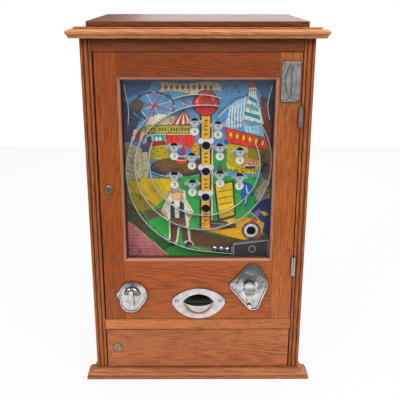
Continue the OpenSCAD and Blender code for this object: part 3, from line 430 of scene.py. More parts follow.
brass = metal("brass_tube", (0.72, 0.50, 0.22), (0.28, 0.17, 0.08), 0.22, 0.2, 0.5)
ball_steel = metal("ball_steel", (0.46, 0.46, 0.47), (0.2, 0.2, 0.2), 0.06, 0.08, 0.2, dirt_and_shade=0)
dress(chrome, "coin_plate", "payout_cup", "trigger_plate", "knob_plate", "plate_screws", "trigger_lever",
      "claim_knob", "hinge_leaves_fixed", "hinge_leaves_moving")
dress(cup_plate, "win_cups")
dress(crown_plate, "hole_rims")
dress(strip_steel, "track_outer", "track_middle", "track_inner", "track_top", "side_guards")
dress(zinc, "lock_strikes", "cash_door_pivots", "coin_chute", "coin_runway", "payout_bed",
      "payout_chute", "mech_plate", "trigger_spindle", "kicker_arm", "payout_slide")
dress(spring_wire, "trigger_spring")
dress(nickel, "door_lock_barrel", "door_lock_plug")
dress(aged_brass, "cash_lock_barrel", "cash_lock_plug")
dress(brass, "coin_tube")
dress(ball_steel, "steel_balls", "leading_ball")


# ---- Paints, rubber and glass: the surround is brushed dark red, the cash tin and the
# kicker cover are sprayed, the discs are stove enamelled, and the buffer is moulded.
def painted(name, colour, under, rough=0.4, mottle=0.3, size=30.0, bump=0.15, coat=0.0, dirt_and_shade=0.5,
            raised=None):
    """A coat of paint, enamel or a moulded skin, uneven over the surface, with dirt and painted shade in
    corners.
    What stands forward of the raised line has its paint rubbed off, down to bright metal."""
    made = bare(name)
    tree = made.node_tree
    at = wire(tree, "TexCoord").outputs["Object"]
    broad = noise(tree, at, size, 4.0, 0.6)
    fine = noise(tree, at, size * 30, 3.0, 0.6)
    uneven = wire(tree, "MapRange", {"Value": broad, "From Min": 0.35, "From Max": 0.75,
                                     "To Max": mottle}).outputs["Result"]
    dirty_and_shaded = place_group(tree, grime_and_shade, Clean=mixed(tree, colour, under, uneven),
                        Dirt=(0.012, 0.01, 0.008), Reach=0.005, Amount=dirt_and_shade)
    matt = wire(tree, "MapRange", {"Value": broad, "To Min": rough - 0.08, "To Max": rough + 0.12})
    shown, share = dirty_and_shaded.outputs["Color"], 0.0
    if raised:
        ahead = wire(tree, "SeparateXYZ", {"Vector": at}).outputs["Y"]
        forward_mask = wire(tree, "MapRange", {"Value": ahead, "From Min": raised + 0.2 * mm,
                                         "From Max": raised - 0.2 * mm}).outputs["Result"]
        shown = mixed(tree, shown, from_srgb(176, 178, 180), forward_mask)
        share = figured(tree, "MULTIPLY", forward_mask, 0.5)
    surfaced(made, shown, matt.outputs["Result"], fine, bump, 0.0002, Coat_Weight=coat, Metallic=share)
    return made


dress(painted("surround_red", from_srgb(72, 22, 18), from_srgb(40, 14, 12), 0.45), "playfield_surround")
dress(painted("tin_green", from_srgb(78, 84, 78), from_srgb(52, 56, 50), 0.5), "cash_box")
cover_face = 24.7 * mm
dress(painted("cover_grey", from_srgb(44, 48, 46), from_srgb(84, 88, 84), 0.35, 0.5, 60.0,
              raised=cover_face), "launcher_cover")
dress(painted("disc_enamel", from_srgb(238, 236, 228), from_srgb(206, 200, 186), 0.18, 0.3, 90.0,
              bump=0.05, coat=0.4, dirt_and_shade=0.3), "number_discs")
dress(painted("buffer_rubber", from_srgb(72, 62, 38), from_srgb(52, 44, 28), 0.7, 0.5, 120.0, 0.4), "buffer")
dress(painted("gate_black", from_srgb(22, 20, 20), from_srgb(50, 40, 36), 0.35, 0.4, 80.0), "ball_gate")
dress(painted("board_ply", from_srgb(52, 38, 28), from_srgb(30, 22, 18), 0.6), "playfield_board")

pane = bare("window_glass")
tree = pane.node_tree
clear = wire(tree, "BsdfPrincipled", {"Base Color": (0.97, 0.985, 0.98, 1), "Roughness": 0.0,
                                      "Transmission Weight": 1.0, "IOR": 1.45})
through = wire(tree, "BsdfTransparent", {"Color": (0.96, 0.97, 0.965, 1)})
path = wire(tree, "LightPath")
lets_light = figured(tree, "MAXIMUM", path.outputs["Is Shadow Ray"], path.outputs["Is Diffuse Ray"])
sheet = wire(tree, "MixShader", {0: lets_light, 1: clear.outputs[0], 2: through.outputs[0]})
wire(tree, "OutputMaterial", {"Surface": sheet.outputs[0]})
dress(pane, "window_glass")


# ---- Plated fittings and balls: the plates are sand cast, filed and plated, the hinges and
# cups are pressed, and the tracks are bent strip. Each stands here as a welded copy of
# its CAD node with its edges eased, so that they catch the light.
body_of = {name: body for body, held in frame["record"]["behaviour"]["bodies"].items() for name in held}


weld = 0.002 * mm


def eased(name, width):
    """Stands a welded copy with eased edges in the place of a CAD node."""
    bpy.ops.object.select_all(action="DESELECT")
    made = bpy.data.objects.new(name + "_eased", nodes[name].data.copy())
    scene.collection.objects.link(made)
    made.select_set(True)
    bpy.context.view_layer.objects.active = made
    bpy.ops.object.mode_set(mode="EDIT")
    bpy.ops.mesh.select_all(action="SELECT")
    bpy.ops.mesh.remove_doubles(threshold=weld)
    if width:
        bpy.ops.mesh.dissolve_limited(angle_limit=radians(0.8))
    bpy.ops.object.mode_set(mode="OBJECT")
    if width:
        soft = made.modifiers.new("eased", "BEVEL")
        soft.width = width
        soft.segments = 2
        soft.limit_method = "ANGLE"
        soft.angle_limit = radians(28)
        soft.use_clamp_overlap = True
        bpy.ops.object.modifier_apply(modifier="eased")
    bpy.ops.object.shade_smooth_by_angle(angle=radians(38))
    if width:
        made.modifiers.new("flat_faces", "WEIGHTED_NORMAL").keep_sharp = True
        bpy.ops.object.modifier_apply(modifier="flat_faces")
    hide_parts(name)
    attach(made, body_of[name])
    return made


edge_widths = {
    "coin_plate": 0.5, "payout_cup": 0.6, "trigger_plate": 0.6, "knob_plate": 0.5,
    "plate_screws": 0.4, "trigger_lever": 0.7, "claim_knob": 0.7,
    "hinge_leaves_fixed": 0.25, "hinge_leaves_moving": 0.25,
    "door_lock_barrel": 0.4, "door_lock_plug": 0.25, "cash_lock_barrel": 0.4, "cash_lock_plug": 0.25,
    "win_cups": 0.25, "hole_rims": 0.5, "number_discs": 0.4,
    "track_outer": 0.3, "track_middle": 0.3, "track_inner": 0.3, "track_top": 0.3,
    "side_guards": 0.3, "launcher_cover": 0.25, "buffer": 1.4, "ball_gate": 0.3,
    "steel_balls": 0, "leading_ball": 0,
}
for name, width in edge_widths.items():
    eased(name, width * mm)


# ---- Figures on the discs: each disc carries the winning count, brushed on in black
# enamel that stands a little proud.
numerals = {
    2: [(-2, 2), (-1.2, 3.4), (1.2, 3.4), (2, 2), (1.6, 0.6), (-2, -3.4), (2.2, -3.4)],
    4: [(1.2, -3.6), (1.2, 3.6), (-2.4, -1.2), (2.6, -1.2)],
    6: [(1.9, 2.9), (0, 3.5), (-1.7, 1.4), (-2, -1.4), (-0.9, -3.4), (1, -3.4), (2, -1.9), (1.1, -0.3),
        (-1.6, -0.6)],
}
winners = [(-7, 585, 4), (44, 578, 6), (-52, 530, 4), (-13, 508, 4), (48.5, 529, 4),
           (92.5, 520, 4), (-52, 464, 2), (-12, 446, 2), (49.5, 467, 2), (93, 461, 2)]
disc_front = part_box("number_discs")[0].y
brush_r = 0.85
brush_height = 0.3
brushed_numbers = []
for x, z, count in winners:
    path = bpy.data.curves.new("numeral", "CURVE")
    path.dimensions = "3D"
    path.bevel_depth = brush_r * mm
    path.bevel_resolution = 1
    path.use_fill_caps = True
    line = path.splines.new("POLY")
    line.points.add(len(numerals[count]) - 1)
    for point, (a, b) in zip(line.points, numerals[count]):
        point.co = ((x + a) * mm, disc_front, (z + b) * mm, 1)
    numeral = bpy.data.objects.new("numeral", path)
    scene.collection.objects.link(numeral)
    brushed_numbers.append(numeral)
bpy.ops.object.select_all(action="DESELECT")
for numeral in brushed_numbers:
    numeral.select_set(True)
bpy.context.view_layer.objects.active = brushed_numbers[0]
bpy.ops.object.convert(target="MESH")
bpy.ops.object.join()
disc_numbers = bpy.context.object
disc_numbers.name = "disc_numbers"
bpy.ops.object.mode_set(mode="EDIT")
bpy.ops.mesh.select_all(action="SELECT")
bpy.ops.transform.resize(value=(1, brush_height, 1), center_override=(0, disc_front, 0))
bpy.ops.object.mode_set(mode="OBJECT")
bpy.ops.object.shade_smooth_by_angle(angle=radians(40))
number_black = painted("number_black", from_srgb(26, 24, 24), from_srgb(60, 54, 50), 0.35, 0.3, 200.0)
disc_numbers.data.materials.append(number_black)
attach(disc_numbers, "door")


# ---- Torsion spring: four close turns of spring wire round the trigger's spindle.
coil_low, coil_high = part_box("trigger_spring")
middle = (coil_low + coil_high) / 2
coil = bpy.data.curves.new("wound_spring", "CURVE")
coil.dimensions = "3D"
coil.bevel_depth = 0.74 * mm
end_room = 0.75 * mm
coil.bevel_resolution = 2
coil.use_fill_caps = True
wound = coil.splines.new("POLY")
turns, per_turn = 3.6, 24
coil_r = (coil_high.x - coil_low.x) / 2 - end_room
pitch_run = coil_high.y - coil_low.y - 2 * end_room
count = int(turns * per_turn)
wound.points.add(count)
for i, point in enumerate(wound.points):
    angle = 2 * pi * i / per_turn
    point.co = (middle.x + coil_r * cos(angle), coil_low.y + end_room + i / count * pitch_run,
                middle.z + coil_r * sin(angle), 1)
wound_spring = bpy.data.objects.new("wound_spring", coil)
scene.collection.objects.link(wound_spring)
bpy.ops.object.select_all(action="DESELECT")
wound_spring.select_set(True)
bpy.context.view_layer.objects.active = wound_spring
bpy.ops.object.convert(target="MESH")
bpy.ops.object.shade_smooth_by_angle(angle=radians(40))
wound_spring = bpy.context.object
wound_spring.data.materials.clear()
wound_spring.data.materials.append(spring_wire)
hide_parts("trigger_spring")
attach(wound_spring, body_of["trigger_spring"])


# ---- Printed board: the plywood behind the glass is printed with a fairground at the
# sea side, then varnished. The sheet is one skin of flat ink patches, punched for every
# cup and hole. The blank signs carry no words.
ink_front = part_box("playfield_board")[0].y
sheet_x = (-163.0, 163.0)
sheet_z = (286.0, 699.0)
sheet_gap, sheet_thick = 0.2 * mm, 0.18 * mm
outlined_area = (60, 9000)
patches = []


def lay(colour, points):
    """Lays one patch of ink, given in millimetres across and up. Later patches lie on top."""
    turns = sum(ax * bz - bx * az for (ax, az), (bx, bz) in zip(points, points[1:] + points[:1]))
    patches.append((from_srgb(*colour), points if turns > 0 else points[::-1]))
    return abs(turns) / 2


def paint(colour, points):
    """A patch of colour. The larger ones are drawn round with a fine dark line."""
    area = lay(colour, points)
    if outlined_area[0] < area < outlined_area[1]:
        half = len(points) // 2
        stroke((44, 42, 46), points[:half + 1], 0.75)
        stroke((44, 42, 46), points[half:] + points[:1], 0.75)


def oval(x, z, across, up=None, start=0, end=360, steps=28):
    """Points round an oval, or along an arc of it."""
    up = across if up is None else up
    count = steps if end - start >= 360 else steps + 1
    return [(x + across * cos(radians(start + (end - start) * i / steps)),
             z + up * sin(radians(start + (end - start) * i / steps))) for i in range(count)]


def stroke(colour, line, width):
    """A brush stroke of even width along a line."""
    left, right = [], []
    for i, (x, z) in enumerate(line):
        (ax, az), (bx, bz) = line[max(i - 1, 0)], line[min(i + 1, len(line) - 1)]
        run = hypot(bx - ax, bz - az)
        over, rise = (az - bz) / run * width / 2, (bx - ax) / run * width / 2
        left.append((x + over, z + rise))
        right.append((x - over, z - rise))
    lay(colour, left + right[::-1])


def lined(colour, points, line=(30, 28, 34), width=1.2):
    """A patch with a bold line round it."""
    lay(colour, points)
    half = len(points) // 2
    stroke(line, points[:half + 1], width)
    stroke(line, points[half:] + points[:1], width)


cream, ink, red, yellow = (232, 220, 198), (30, 28, 34), (228, 66, 56), (204, 178, 52)
teal, grass, straw = (52, 142, 160), (78, 164, 92), (206, 176, 66)
paint((112, 158, 196), [(sheet_x[0], sheet_z[0]), (sheet_x[1], sheet_z[0]),
                        (sheet_x[1], sheet_z[1]), (sheet_x[0], sheet_z[1])])
# Sky: darker corners, a plain cream ribbon, and gulls' wings
paint((72, 104, 146), [(-163, 699), (-92, 699), (-104, 676), (-146, 660), (-163, 652)])
paint((80, 112, 150), [(112, 699), (163, 699), (163, 655), (138, 658), (126, 682)])
# Painted shadow: the darker band along the top edge, under the top of the frame.
paint((96, 118, 140), [(-163, 699), (163, 699), (163, 693), (40, 690), (-90, 694), (-163, 690)])
for x, z in ((-146, 690), (-132, 682), (-118, 691), (96, 690), (78, 684)):
    stroke((40, 48, 70), [(x - 7, z - 2), (x - 3, z + 2), (x, z - 1), (x + 3, z + 2), (x + 7, z - 2)], 1.4)
lined((222, 204, 172), [(-86, 668), (-60, 672), (-10, 666), (30, 674), (52, 672), (46, 690),
                        (20, 693), (-30, 688), (-80, 692), (-76, 680)], (88, 76, 66), 1.2)
for x in (-68, -56, -44, -32, -20, -8, 4, 16, 28):
    lined((120, 96, 72), [(x - 3.4, 680), (x, 674), (x + 3.4, 680), (x, 686)], (52, 42, 40), 1)
# Dark left and right margins
paint((62, 66, 94), [(-163, 652), (-151, 650), (-142, 624), (-124, 612), (-134, 592), (-150, 560),
                     (-163, 556)])
stroke((34, 40, 60), [(-150, 612), (-136, 608), (-120, 610)], 3)
paint((64, 40, 40), [(134, 660), (163, 655), (163, 540), (152, 556), (142, 596)])
paint((132, 62, 36), [(138, 638), (145, 651), (153, 640), (150, 612), (159, 600), (160, 566), (151, 558),
                      (146, 590), (137, 612)])
# Big wheel
wheel = (-94, 640)
for turn in range(8):
    angle = radians(22 + 45 * turn)
    rim = (wheel[0] + 42 * cos(angle), wheel[1] + 29 * sin(angle))
    stroke((205, 70, 78) if turn % 2 else (214, 210, 204), [wheel, rim], 2.6)
    stroke((120, 40, 50), [wheel, (rim[0] + 2, rim[1])], 0.7)
for span in ((0, 178), (180, 358)):
    stroke((36, 44, 62), oval(*wheel, 43, 30, *span, 22), 3)
    stroke((170, 190, 206), oval(*wheel, 37, 25, *span, 22), 0.9)
for turn in range(8):
    angle = radians(44.5 + 45 * turn)
    at = (wheel[0] + 43 * cos(angle), wheel[1] + 30 * sin(angle))
    lined((226, 150, 160) if turn % 2 else (70, 90, 130), oval(*at, 5, 4, steps=10), ink, 1)
paint((214, 70, 78), oval(*wheel, 4, steps=12))
# Tents along the skyline
paint((228, 212, 190), [(-116, 596), (-104, 616), (-84, 624), (-60, 622), (-20, 606), (-6, 596)])
tent_top, tent_foot, stripes = (-30, 633), (-68, -4), 8
for i in range(stripes):
    a = tent_foot[0] + (tent_foot[1] - tent_foot[0]) * i / stripes
    b = tent_foot[0] + (tent_foot[1] - tent_foot[0]) * (i + 1) / stripes
    paint(red if i % 2 else (238, 226, 208), [tent_top, (a, 596), (b, 596)])
stroke(ink, [(tent_foot[0], 597), (-52, 609), tent_top], 1)
stroke(ink, [tent_top, (-14, 612), (tent_foot[1], 597)], 1)
lined((240, 168, 166), [(-30, 641), (-12, 652), (-14, 644), (-36, 650)], (150, 60, 66), 0.8)
for i in range(5):
    x = -148 + 9 * i
    paint((204, 74, 66) if i % 2 else (226, 214, 196), [(x, 562), (x + 9, 564), (x + 17, 592), (x + 9, 588)])
paint((150, 148, 60), [(-128, 588), (-98, 600), (-92, 590), (-110, 580)])
# Row of blank sign boards
paint((60, 62, 50), [(-113, 598.5), (-13, 600), (-13, 578), (-113, 578)])
for i in range(4):
    low_x = -112 + 24.6 * i
    paint(yellow, [(low_x, 581), (low_x + 22.5, 581), (low_x + 22.5, 598), (low_x, 598)])
    for k in (5, 11.2, 17.4):
        paint((64, 52, 36), [(low_x + k - 2.4, 589.5), (low_x + k, 584.5), (low_x + k + 2.4, 589.5),
                             (low_x + k, 594.5)])
    paint((88, 176, 182), [(low_x + 22.5, 581), (low_x + 24.6, 581), (low_x + 24.6, 598),
                           (low_x + 22.5, 598)])
paint(cream, [(-113, 577), (-13, 577), (-13, 580), (-113, 580)])
# Stalls under the signs
paint((170, 190, 190), [(-124, 556), (-66, 560), (-66, 577), (-112, 577)])
paint((72, 168, 150), [(-97, 561), (-74, 562), (-74, 577), (-94, 577)])
paint((40, 66, 96), [(-112, 558), (-100, 560), (-102, 574), (-110, 572)])
for x in (-90, -82):
    paint((226, 232, 226), oval(x, 568, 3, 5, steps=10))
paint((170, 36, 52), [(-120, 547), (-98, 553), (-70, 556), (-70, 564), (-98, 562), (-122, 556)])
paint((190, 168, 52), [(-104, 552), (-62, 556), (-62, 520), (-106, 522)])
paint((214, 168, 44), [(-14, 560), (6, 562), (6, 532), (-14, 536)])
for x, z in ((-96, 546), (-88, 540), (-78, 548), (-72, 538), (-98, 534), (-84, 530), (-6, 552),
             (0, 546), (-4, 540)):
    paint((84, 66, 36), oval(x, z, 2.2, 1.4, steps=8))
# Red canopy over the ride
lined((234, 80, 62), [(-71, 577), (-4, 577), (-10, 552), (-20, 546), (-30, 553), (-42, 546), (-54, 552),
                      (-64, 546)], (120, 30, 30), 1)
for x, foot in ((-58, -54), (-46, -42), (-24, -26), (-14, -18)):
    stroke((182, 48, 48), [(x, 576), ((x + foot) / 2, 564), (foot, 551)], 1.4)
paint((186, 112, 116), [(-40, 576), (-34, 576), (-33, 552), (-37, 550)])
paint((236, 92, 112), oval(-32, 542, 6, steps=16))
paint((90, 110, 150), [(-46, 536), (-20, 536), (-22, 522), (-46, 522)])
stroke((234, 230, 222), [(-50, 534), (-38, 528), (-20, 531)], 2)
# Round ride with a boarded floor
paint((56, 70, 92), oval(-42, 497, 66, 19, steps=40))
for span in ((0, 178), (180, 358)):
    stroke((196, 206, 206), oval(-42, 501, 65, 20, *span, 26), 1.6)
    stroke((34, 34, 40), oval(-42, 504, 62, 19, *span, 26), 1.8)
paint((114, 86, 50), oval(-42, 508, 60, 18, steps=40))
for size in (46, 33, 20):
    stroke((80, 58, 36), oval(-50, 508, size, size * 0.32, 60, 300, 22), 1.2)
paint((238, 88, 66), [(-50, 522), (-22, 522), (-27, 511), (-45, 511)])
stroke((236, 232, 224), [(-51, 522), (-36, 519), (-21, 522)], 1.6)
# Grass between the column and the yellow stall, and a worn post
paint((70, 156, 92), [(34, 538), (62, 546), (64, 486), (34, 484)])
paint((104, 88, 84), [(44, 508), (52, 508), (53, 494), (43, 494)])
# Left outer band: canvas booths
paint((196, 184, 154), [(-163, 560), (-150, 562), (-134, 552), (-112, 545), (-106, 512), (-112, 470),
                        (-163, 470)])
for i in range(7):
    z = 552 - 11 * i
    stroke((84, 70, 62) if i % 2 else (150, 84, 70), [(-158, z), (-148, z - 7), (-138, z - 4)], 1.3)
    stroke((70, 66, 70), [(-126, z - 2), (-120, z - 12), (-124, z - 18)], 1.1)
paint((60, 78, 92), [(-124, 552), (-106, 556), (-108, 540), (-122, 538)])
# Meadow and straw
paint(grass, [(-163, 452), (-112, 478), (-60, 482), (20, 484), (110, 486), (163, 470), (163, 286),
              (-163, 286)])
paint(straw, [(-163, 474), (-112, 480), (-58, 478), (-40, 462), (-62, 440), (-92, 414), (-122, 400),
              (-163, 424)])
paint((232, 196, 96), [(-86, 478), (-58, 478), (-44, 464), (-60, 446), (-74, 450)])
paint((156, 142, 58), [(-163, 448), (-130, 440), (-96, 416), (-124, 398), (-163, 412)])
paint((92, 86, 46), [(-163, 424), (-128, 400), (-104, 362), (-76, 330), (-96, 300), (-163, 372)])
paint((62, 118, 58), [(-120, 352), (-98, 352), (-66, 318), (-84, 296), (-104, 308)])
paint((112, 84, 60), [(-122, 402), (-98, 401), (-76, 414), (-84, 392), (-112, 378)])
for i in range(9):
    x, z = -112 + 6 * i, 344 - 5 * i
    stroke((44, 92, 48), [(x, z), (x + 3, z + 7), (x + 8, z + 12)], 1.2)
stroke((120, 90, 40), [(-112, 462), (-98, 452), (-80, 446)], 1.2)
stroke((120, 90, 40), [(-150, 462), (-140, 440), (-120, 428)], 1.6)
# Slide tower and its wooden frame
paint((168, 200, 220), [(56, 598), (70, 640), (94, 656), (106, 664), (104, 596), (66, 588)])
for i in range(6):
    x = 68 + 6.4 * i
    stroke((232, 236, 236), [(x, 594), (x - 1, 620), (x + 1, 636 + 3 * i)], 1.8)
    stroke((70, 96, 130), [(x + 3, 592), (x + 2, 612), (x + 3, 630 + 3 * i)], 0.9)
stroke((44, 48, 62), [(42, 622), (60, 640), (84, 658), (104, 662), (118, 664)], 1.6)
stroke(cream, [(44, 616), (62, 634), (86, 652), (104, 656)], 1.4)
stroke((44, 48, 62), [(52, 606), (68, 618), (84, 606), (98, 602)], 1.2)
lined((214, 222, 220), [(108, 670), (125, 670), (144, 600), (98, 600)], ink, 1)
for i in range(4):
    top = 662 - 17 * i
    wide = 7.4 + 3.4 * i
    lined(teal if i % 2 == 0 else (112, 172, 190),
          [(117 - wide, top), (119 + wide, top - 9), (120 + wide, top - 17), (116 - wide, top - 7)], ink, 0.8)
paint((236, 236, 230), [(109, 680), (125, 680), (125, 668), (109, 668)])
for x in (112.5, 117, 121.5):
    paint((60, 66, 84), [(x - 1.2, 671), (x + 1.2, 671), (x + 1.2, 677), (x - 1.2, 677)])
lined((232, 92, 62), [(107, 680), (127, 680), (121, 690), (113, 690)], ink, 0.8)
paint((152, 196, 216), [(98, 600), (140, 600), (146, 572), (100, 584)])
for x in (106, 114, 122, 130):
    stroke((226, 234, 236), [(x, 596), (x + 1, 582)], 1.6)
# Blank banner with lozenges
lined((230, 74, 56), [(60, 594), (105, 581), (150, 568), (157, 543), (110, 551),
                      (63, 561)], (92, 22, 22), 1.4)
for i in range(6):
    x, z = 72 + 14 * i, 577.5 - 3.6 * i
    lined((226, 206, 84), [(x - 4.6, z), (x, z - 8), (x + 4.6, z), (x, z + 8)], (70, 40, 26), 1.2)
# Stall below the banner, with a striped rail
paint((196, 176, 52), [(62, 560), (110, 550), (142, 545), (138, 512), (130, 490), (64, 498)])
paint((150, 132, 50), [(110, 550), (142, 545), (139, 520), (112, 524)])
lined((220, 194, 66), [(62, 520), (74, 508), (100, 500), (132, 496), (130, 488), (92, 490),
                       (64, 502)], ink, 1)
for i in range(8):
    paint((70, 56, 32), oval(74 + 7.4 * i, 498 - 0.6 * i, 1.5, 1.9, steps=8))
paint((226, 152, 144), [(102, 518), (130, 520), (132, 510), (102, 508)])
stroke((238, 232, 222), [(100, 509), (118, 507), (133, 509)], 1.8)
paint((44, 38, 36), [(104, 506), (128, 506), (126, 501), (106, 501)])
paint((74, 96, 150), [(58, 566), (66, 566), (66, 556), (58, 556)])
# Right margin
paint((112, 90, 46), [(141, 546), (163, 545), (163, 470), (146, 476), (140, 500)])
paint((166, 154, 132), [(146, 478), (163, 470), (163, 426), (134, 424), (126, 444)])
for i in range(4):
    stroke((86, 78, 62), [(132 + 5 * i, 470 - 9 * i), (146 + 4 * i, 486 - 9 * i)], 1.4)
# Visitors in blue, seen as plain shapes
paint((66, 108, 178), [(96, 470), (118, 466), (126, 440), (108, 408), (98, 430)])
stroke((224, 230, 232), [(108, 462), (112, 440), (106, 418)], 2)
stroke((40, 62, 120), [(118, 462), (120, 440), (112, 412)], 1.4)
paint((58, 148, 84), [(112, 440), (132, 436), (124, 404), (108, 400)])
# Lower right: night blue hill
paint((54, 60, 122), [(120, 404), (148, 428), (163, 432), (163, 330), (150, 352), (132, 384)])
paint((150, 124, 172), [(124, 396), (140, 408), (146, 396), (132, 384)])
paint((214, 190, 70), [(140, 402), (152, 400), (163, 392), (150, 388)])
stroke((226, 214, 192), [(120, 398), (134, 386), (152, 366)], 1.8)
stroke((226, 214, 192), [(120, 398), (108, 386), (100, 384)], 1.8)
# Yellow column with its scale, black edges and a pale strip
paint((32, 28, 26), [(4, 622), (30, 622), (30, 362), (4, 362)])
paint((222, 210, 186), [(30, 600), (34, 600), (34, 362), (30, 362)])
paint((240, 178, 34), [(8, 622), (27, 622), (27, 362), (8, 362)])
for z in (609, 597, 588, 578, 535, 526, 517, 475, 465, 457, 388, 378):
    paint((70, 46, 24), [(13.5, z - 0.9), (22, z - 0.9), (22, z + 0.9), (13.5, z + 0.9)])
    paint((70, 46, 24), [(16.6, z - 2.4), (18.8, z - 2.4), (18.8, z + 2.4), (16.6, z + 2.4)])
# Red ball sign
paint(ink, oval(17, 646, 28, steps=40))
paint((232, 50, 44), oval(17, 646, 26, steps=40))
paint((188, 34, 34), oval(20, 640, 17, 12, steps=24))
paint((232, 50, 44), oval(18, 636, 17, 10, steps=24))
stroke((242, 196, 172), oval(17, 646, 19, 19, 112, 176, 10), 3)
stroke((242, 196, 172), oval(17, 646, 19, 19, 24, 70, 10), 3)
# Tilted blank board
paint((30, 40, 36), [(36, 464), (80, 474), (87, 389), (46, 377)])
paint((234, 194, 58), [(39.5, 461), (77, 470), (83.5, 392), (49.5, 382)])
for i in range(4):
    stroke((126, 100, 40), [(45 + i, 446 - 15 * i), (76 + i, 452 - 15 * i)], 2.2)
# Ramp, planks and the lit return ring
paint((74, 88, 84), [(74, 330), (163, 344), (163, 286), (74, 286)])
lined((104, 74, 48), [(-14, 356), (4, 351), (104, 330), (84, 305), (20, 310), (-18, 318)], (52, 38, 30), 1)
for i in range(5):
    stroke((72, 50, 34), [(-12 + 2 * i, 346 - 6 * i), (30, 338 - 6 * i), (80, 328 - 5 * i)], 1)
lined((248, 182, 22), [(0, 358), (24, 370), (60, 380), (104, 387), (128, 384), (152, 372), (148, 346),
                       (112, 328), (60, 342)], (70, 44, 24), 1)
paint((62, 48, 44), [(28, 379), (58, 377), (86, 369), (88, 361), (58, 357), (28, 362)])
stroke((140, 132, 124), [(30, 372), (56, 370), (84, 364)], 2)
paint((236, 150, 60), [(112, 328), (140, 342), (138, 328), (120, 322)])
lined((94, 84, 108), oval(122, 354, 21, 20, steps=30), (34, 30, 42), 1.6)
for turn in range(8):
    angle = radians(45 * turn + 20)
    stroke((176, 150, 196), [(122 + 13 * cos(angle), 354 + 13 * sin(angle)),
                             (122 + 19 * cos(angle), 354 + 18 * sin(angle))], 2.4)
lined((232, 96, 60), oval(127, 378, 7, 5, steps=12), (96, 30, 24), 0.8)
lined((232, 96, 60), [(136, 350), (146, 346), (142, 334), (134, 338)], (96, 30, 24), 0.8)
# Pale pink corner panel with faint ruled lines
paint((214, 146, 146), [(-163, 376), (-146, 366), (-62, 286), (-163, 286)])
stroke((238, 196, 190), [(-163, 377), (-146, 367), (-104, 327), (-61, 286)], 1.6)
for i, end in enumerate((-146, -138, -130, -122, -112, -104, -95, -86)):
    stroke((150, 84, 92), [(-158, 358 - 8.2 * i), (end - 6, 358 - 8.2 * i)], 1.1)
# A plain showman, with no face
paint(cream, [(-84, 400), (-70, 432), (-62, 448), (-46, 462), (-28, 450), (-26, 430), (-8, 398), (-20, 378),
              (-16, 330), (-8, 318), (-30, 320), (-34, 354), (-42, 362), (-46, 322), (-66, 322), (-66, 384)])
paint((108, 70, 54), [(-62, 386), (-29, 386), (-21, 330), (-34, 326), (-39, 362), (-46, 362),
                      (-50, 328), (-62, 330)])
paint((226, 218, 206), [(-68, 420), (-56, 430), (-36, 430), (-24, 418), (-12, 394), (-20, 386), (-30, 402),
                        (-30, 384), (-60, 384), (-61, 404), (-72, 392), (-80, 400)])
paint((32, 60, 52), [(-61, 420), (-54, 427), (-51, 384), (-62, 384)])
paint((32, 60, 52), [(-40, 427), (-32, 420), (-29, 384), (-42, 384)])
paint((238, 178, 140), oval(-76, 397, 5, steps=10))
paint((238, 178, 140), oval(-16, 391, 5, steps=10))
paint((240, 196, 150), oval(-46, 440, 11.5, 13, steps=20))
lined((176, 166, 160), [(-61, 443), (-58, 452), (-46, 459), (-34, 453), (-31, 444), (-46, 447)], ink, 1)
for x in (-66, -28):
    paint((36, 28, 28), [(x, 322), (x + 6, 328), (x + 16, 322), (x + 14, 316), (x - 6, 316)])

# Holes through the sheet: one above each disc, four down the column and the return hole
cup_rise, cup_hole_r, punch_room = 21.5, 7.75, 0.05
holes = []
for x, z, _ in winners:
    holes.append(oval(x, z + cup_rise, cup_hole_r, steps=32))
for x, z, r in ((18, 553, 9.5), (18, 494, 9.5), (17.5, 434, 9.5), (18, 407, 9.5), (122, 354, 10.5)):
    holes.append(oval(x, z, r + punch_room, steps=32))

corners, rings_of = [], []
for outline in [points for _, points in patches] + holes:
    rings_of.append(list(range(len(corners), len(corners) + len(outline))))
    corners += [Vector(p) for p in outline]
found = delaunay_2d_cdt(corners, [], rings_of, 4, 1e-4, True)
spots, faces, owners = found[0], found[2], found[5]
skin = bmesh.new()
inked = skin.loops.layers.float_color.new("ink")
dots = [skin.verts.new((p.x * mm, ink_front - sheet_gap, p.y * mm)) for p in spots]
for corner_ids, owner in zip(faces, owners):
    if 0 not in owner or max(owner) >= len(patches):
        continue
    face = skin.faces.new([dots[i] for i in corner_ids])
    for loop in face.loops:
        loop[inked] = (*patches[max(owner)][0], 1)
bmesh.ops.delete(skin, geom=[v for v in skin.verts if not v.link_faces], context="VERTS")
bmesh.ops.recalc_face_normals(skin, faces=skin.faces)
if sum(face.normal.y for face in skin.faces) > 0:
    bmesh.ops.reverse_faces(skin, faces=skin.faces)
print_mesh = bpy.data.meshes.new("printed_sheet")
skin.to_mesh(print_mesh)
skin.free()
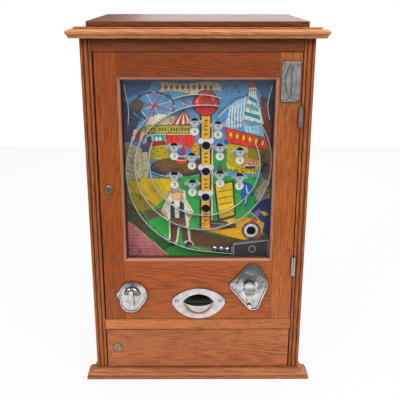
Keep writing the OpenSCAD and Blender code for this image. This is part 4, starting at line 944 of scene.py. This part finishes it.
printed = bpy.data.objects.new("printed_sheet", print_mesh)
scene.collection.objects.link(printed)
bpy.ops.object.select_all(action="DESELECT")
bpy.context.view_layer.objects.active = printed
printed.select_set(True)
solid = printed.modifiers.new("thick", "SOLIDIFY")
solid.thickness = sheet_thick
solid.offset = -1
bpy.ops.object.modifier_apply(modifier="thick")
ink_coat = bare("varnished_print")
tree = ink_coat.node_tree
tint = wire(tree, "Attribute", attribute_name="ink").outputs["Color"]
at = wire(tree, "TexCoord").outputs["Object"]
faded = wire(tree, "MapRange", {"Value": noise(tree, at, 40.0, 5.0, 0.65), "From Min": 0.35, "From Max": 0.7,
                                "To Max": 0.3}).outputs["Result"]
# Loose pen lines over the colours, as such boards are drawn
pen = figured(tree, "ABSOLUTE", figured(tree, "SUBTRACT", noise(tree, at, 34.0, 3.0, 0.55, 0.5), 0.5), 0)
pen = wire(tree, "MapRange", {"Value": pen, "From Min": 0.016, "From Max": 0.004}).outputs["Result"]
lifted = wire(tree, "MapRange", {"Value": noise(tree, at, 60.0, 1.0), "From Min": 0.46, "From Max": 0.54})
pen = figured(tree, "MULTIPLY", pen, lifted.outputs["Result"])
pen = figured(tree, "MULTIPLY", pen, 0.8)
brushed = noise(tree, stretched(tree, at, 1, 1, 0.4), 260.0, 3.0, 0.6)
brushed = wire(tree, "MapRange", {"Value": brushed, "From Min": 0.3, "From Max": 0.7, "To Max": 0.22})
shown = mixed(tree, tint, from_srgb(120, 96, 70), faded, "SOFT_LIGHT")
shown = mixed(tree, shown, from_srgb(54, 50, 46), brushed.outputs["Result"])
# The print's colours are lifted a little, partly as painted light against the shade in the recess behind the
# glass.
shown = wire(tree, "HueSaturation", {"Color": shown, "Saturation": 1.18, "Value": 1.06}).outputs[0]
shown = mixed(tree, shown, from_srgb(24, 22, 26), pen)
surfaced(ink_coat, shown, 0.38, brushed.outputs["Result"], 0.1, 0.0001, Coat_Weight=0.15, Coat_Roughness=0.2)
printed.data.materials.append(ink_coat)
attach(printed, "door")
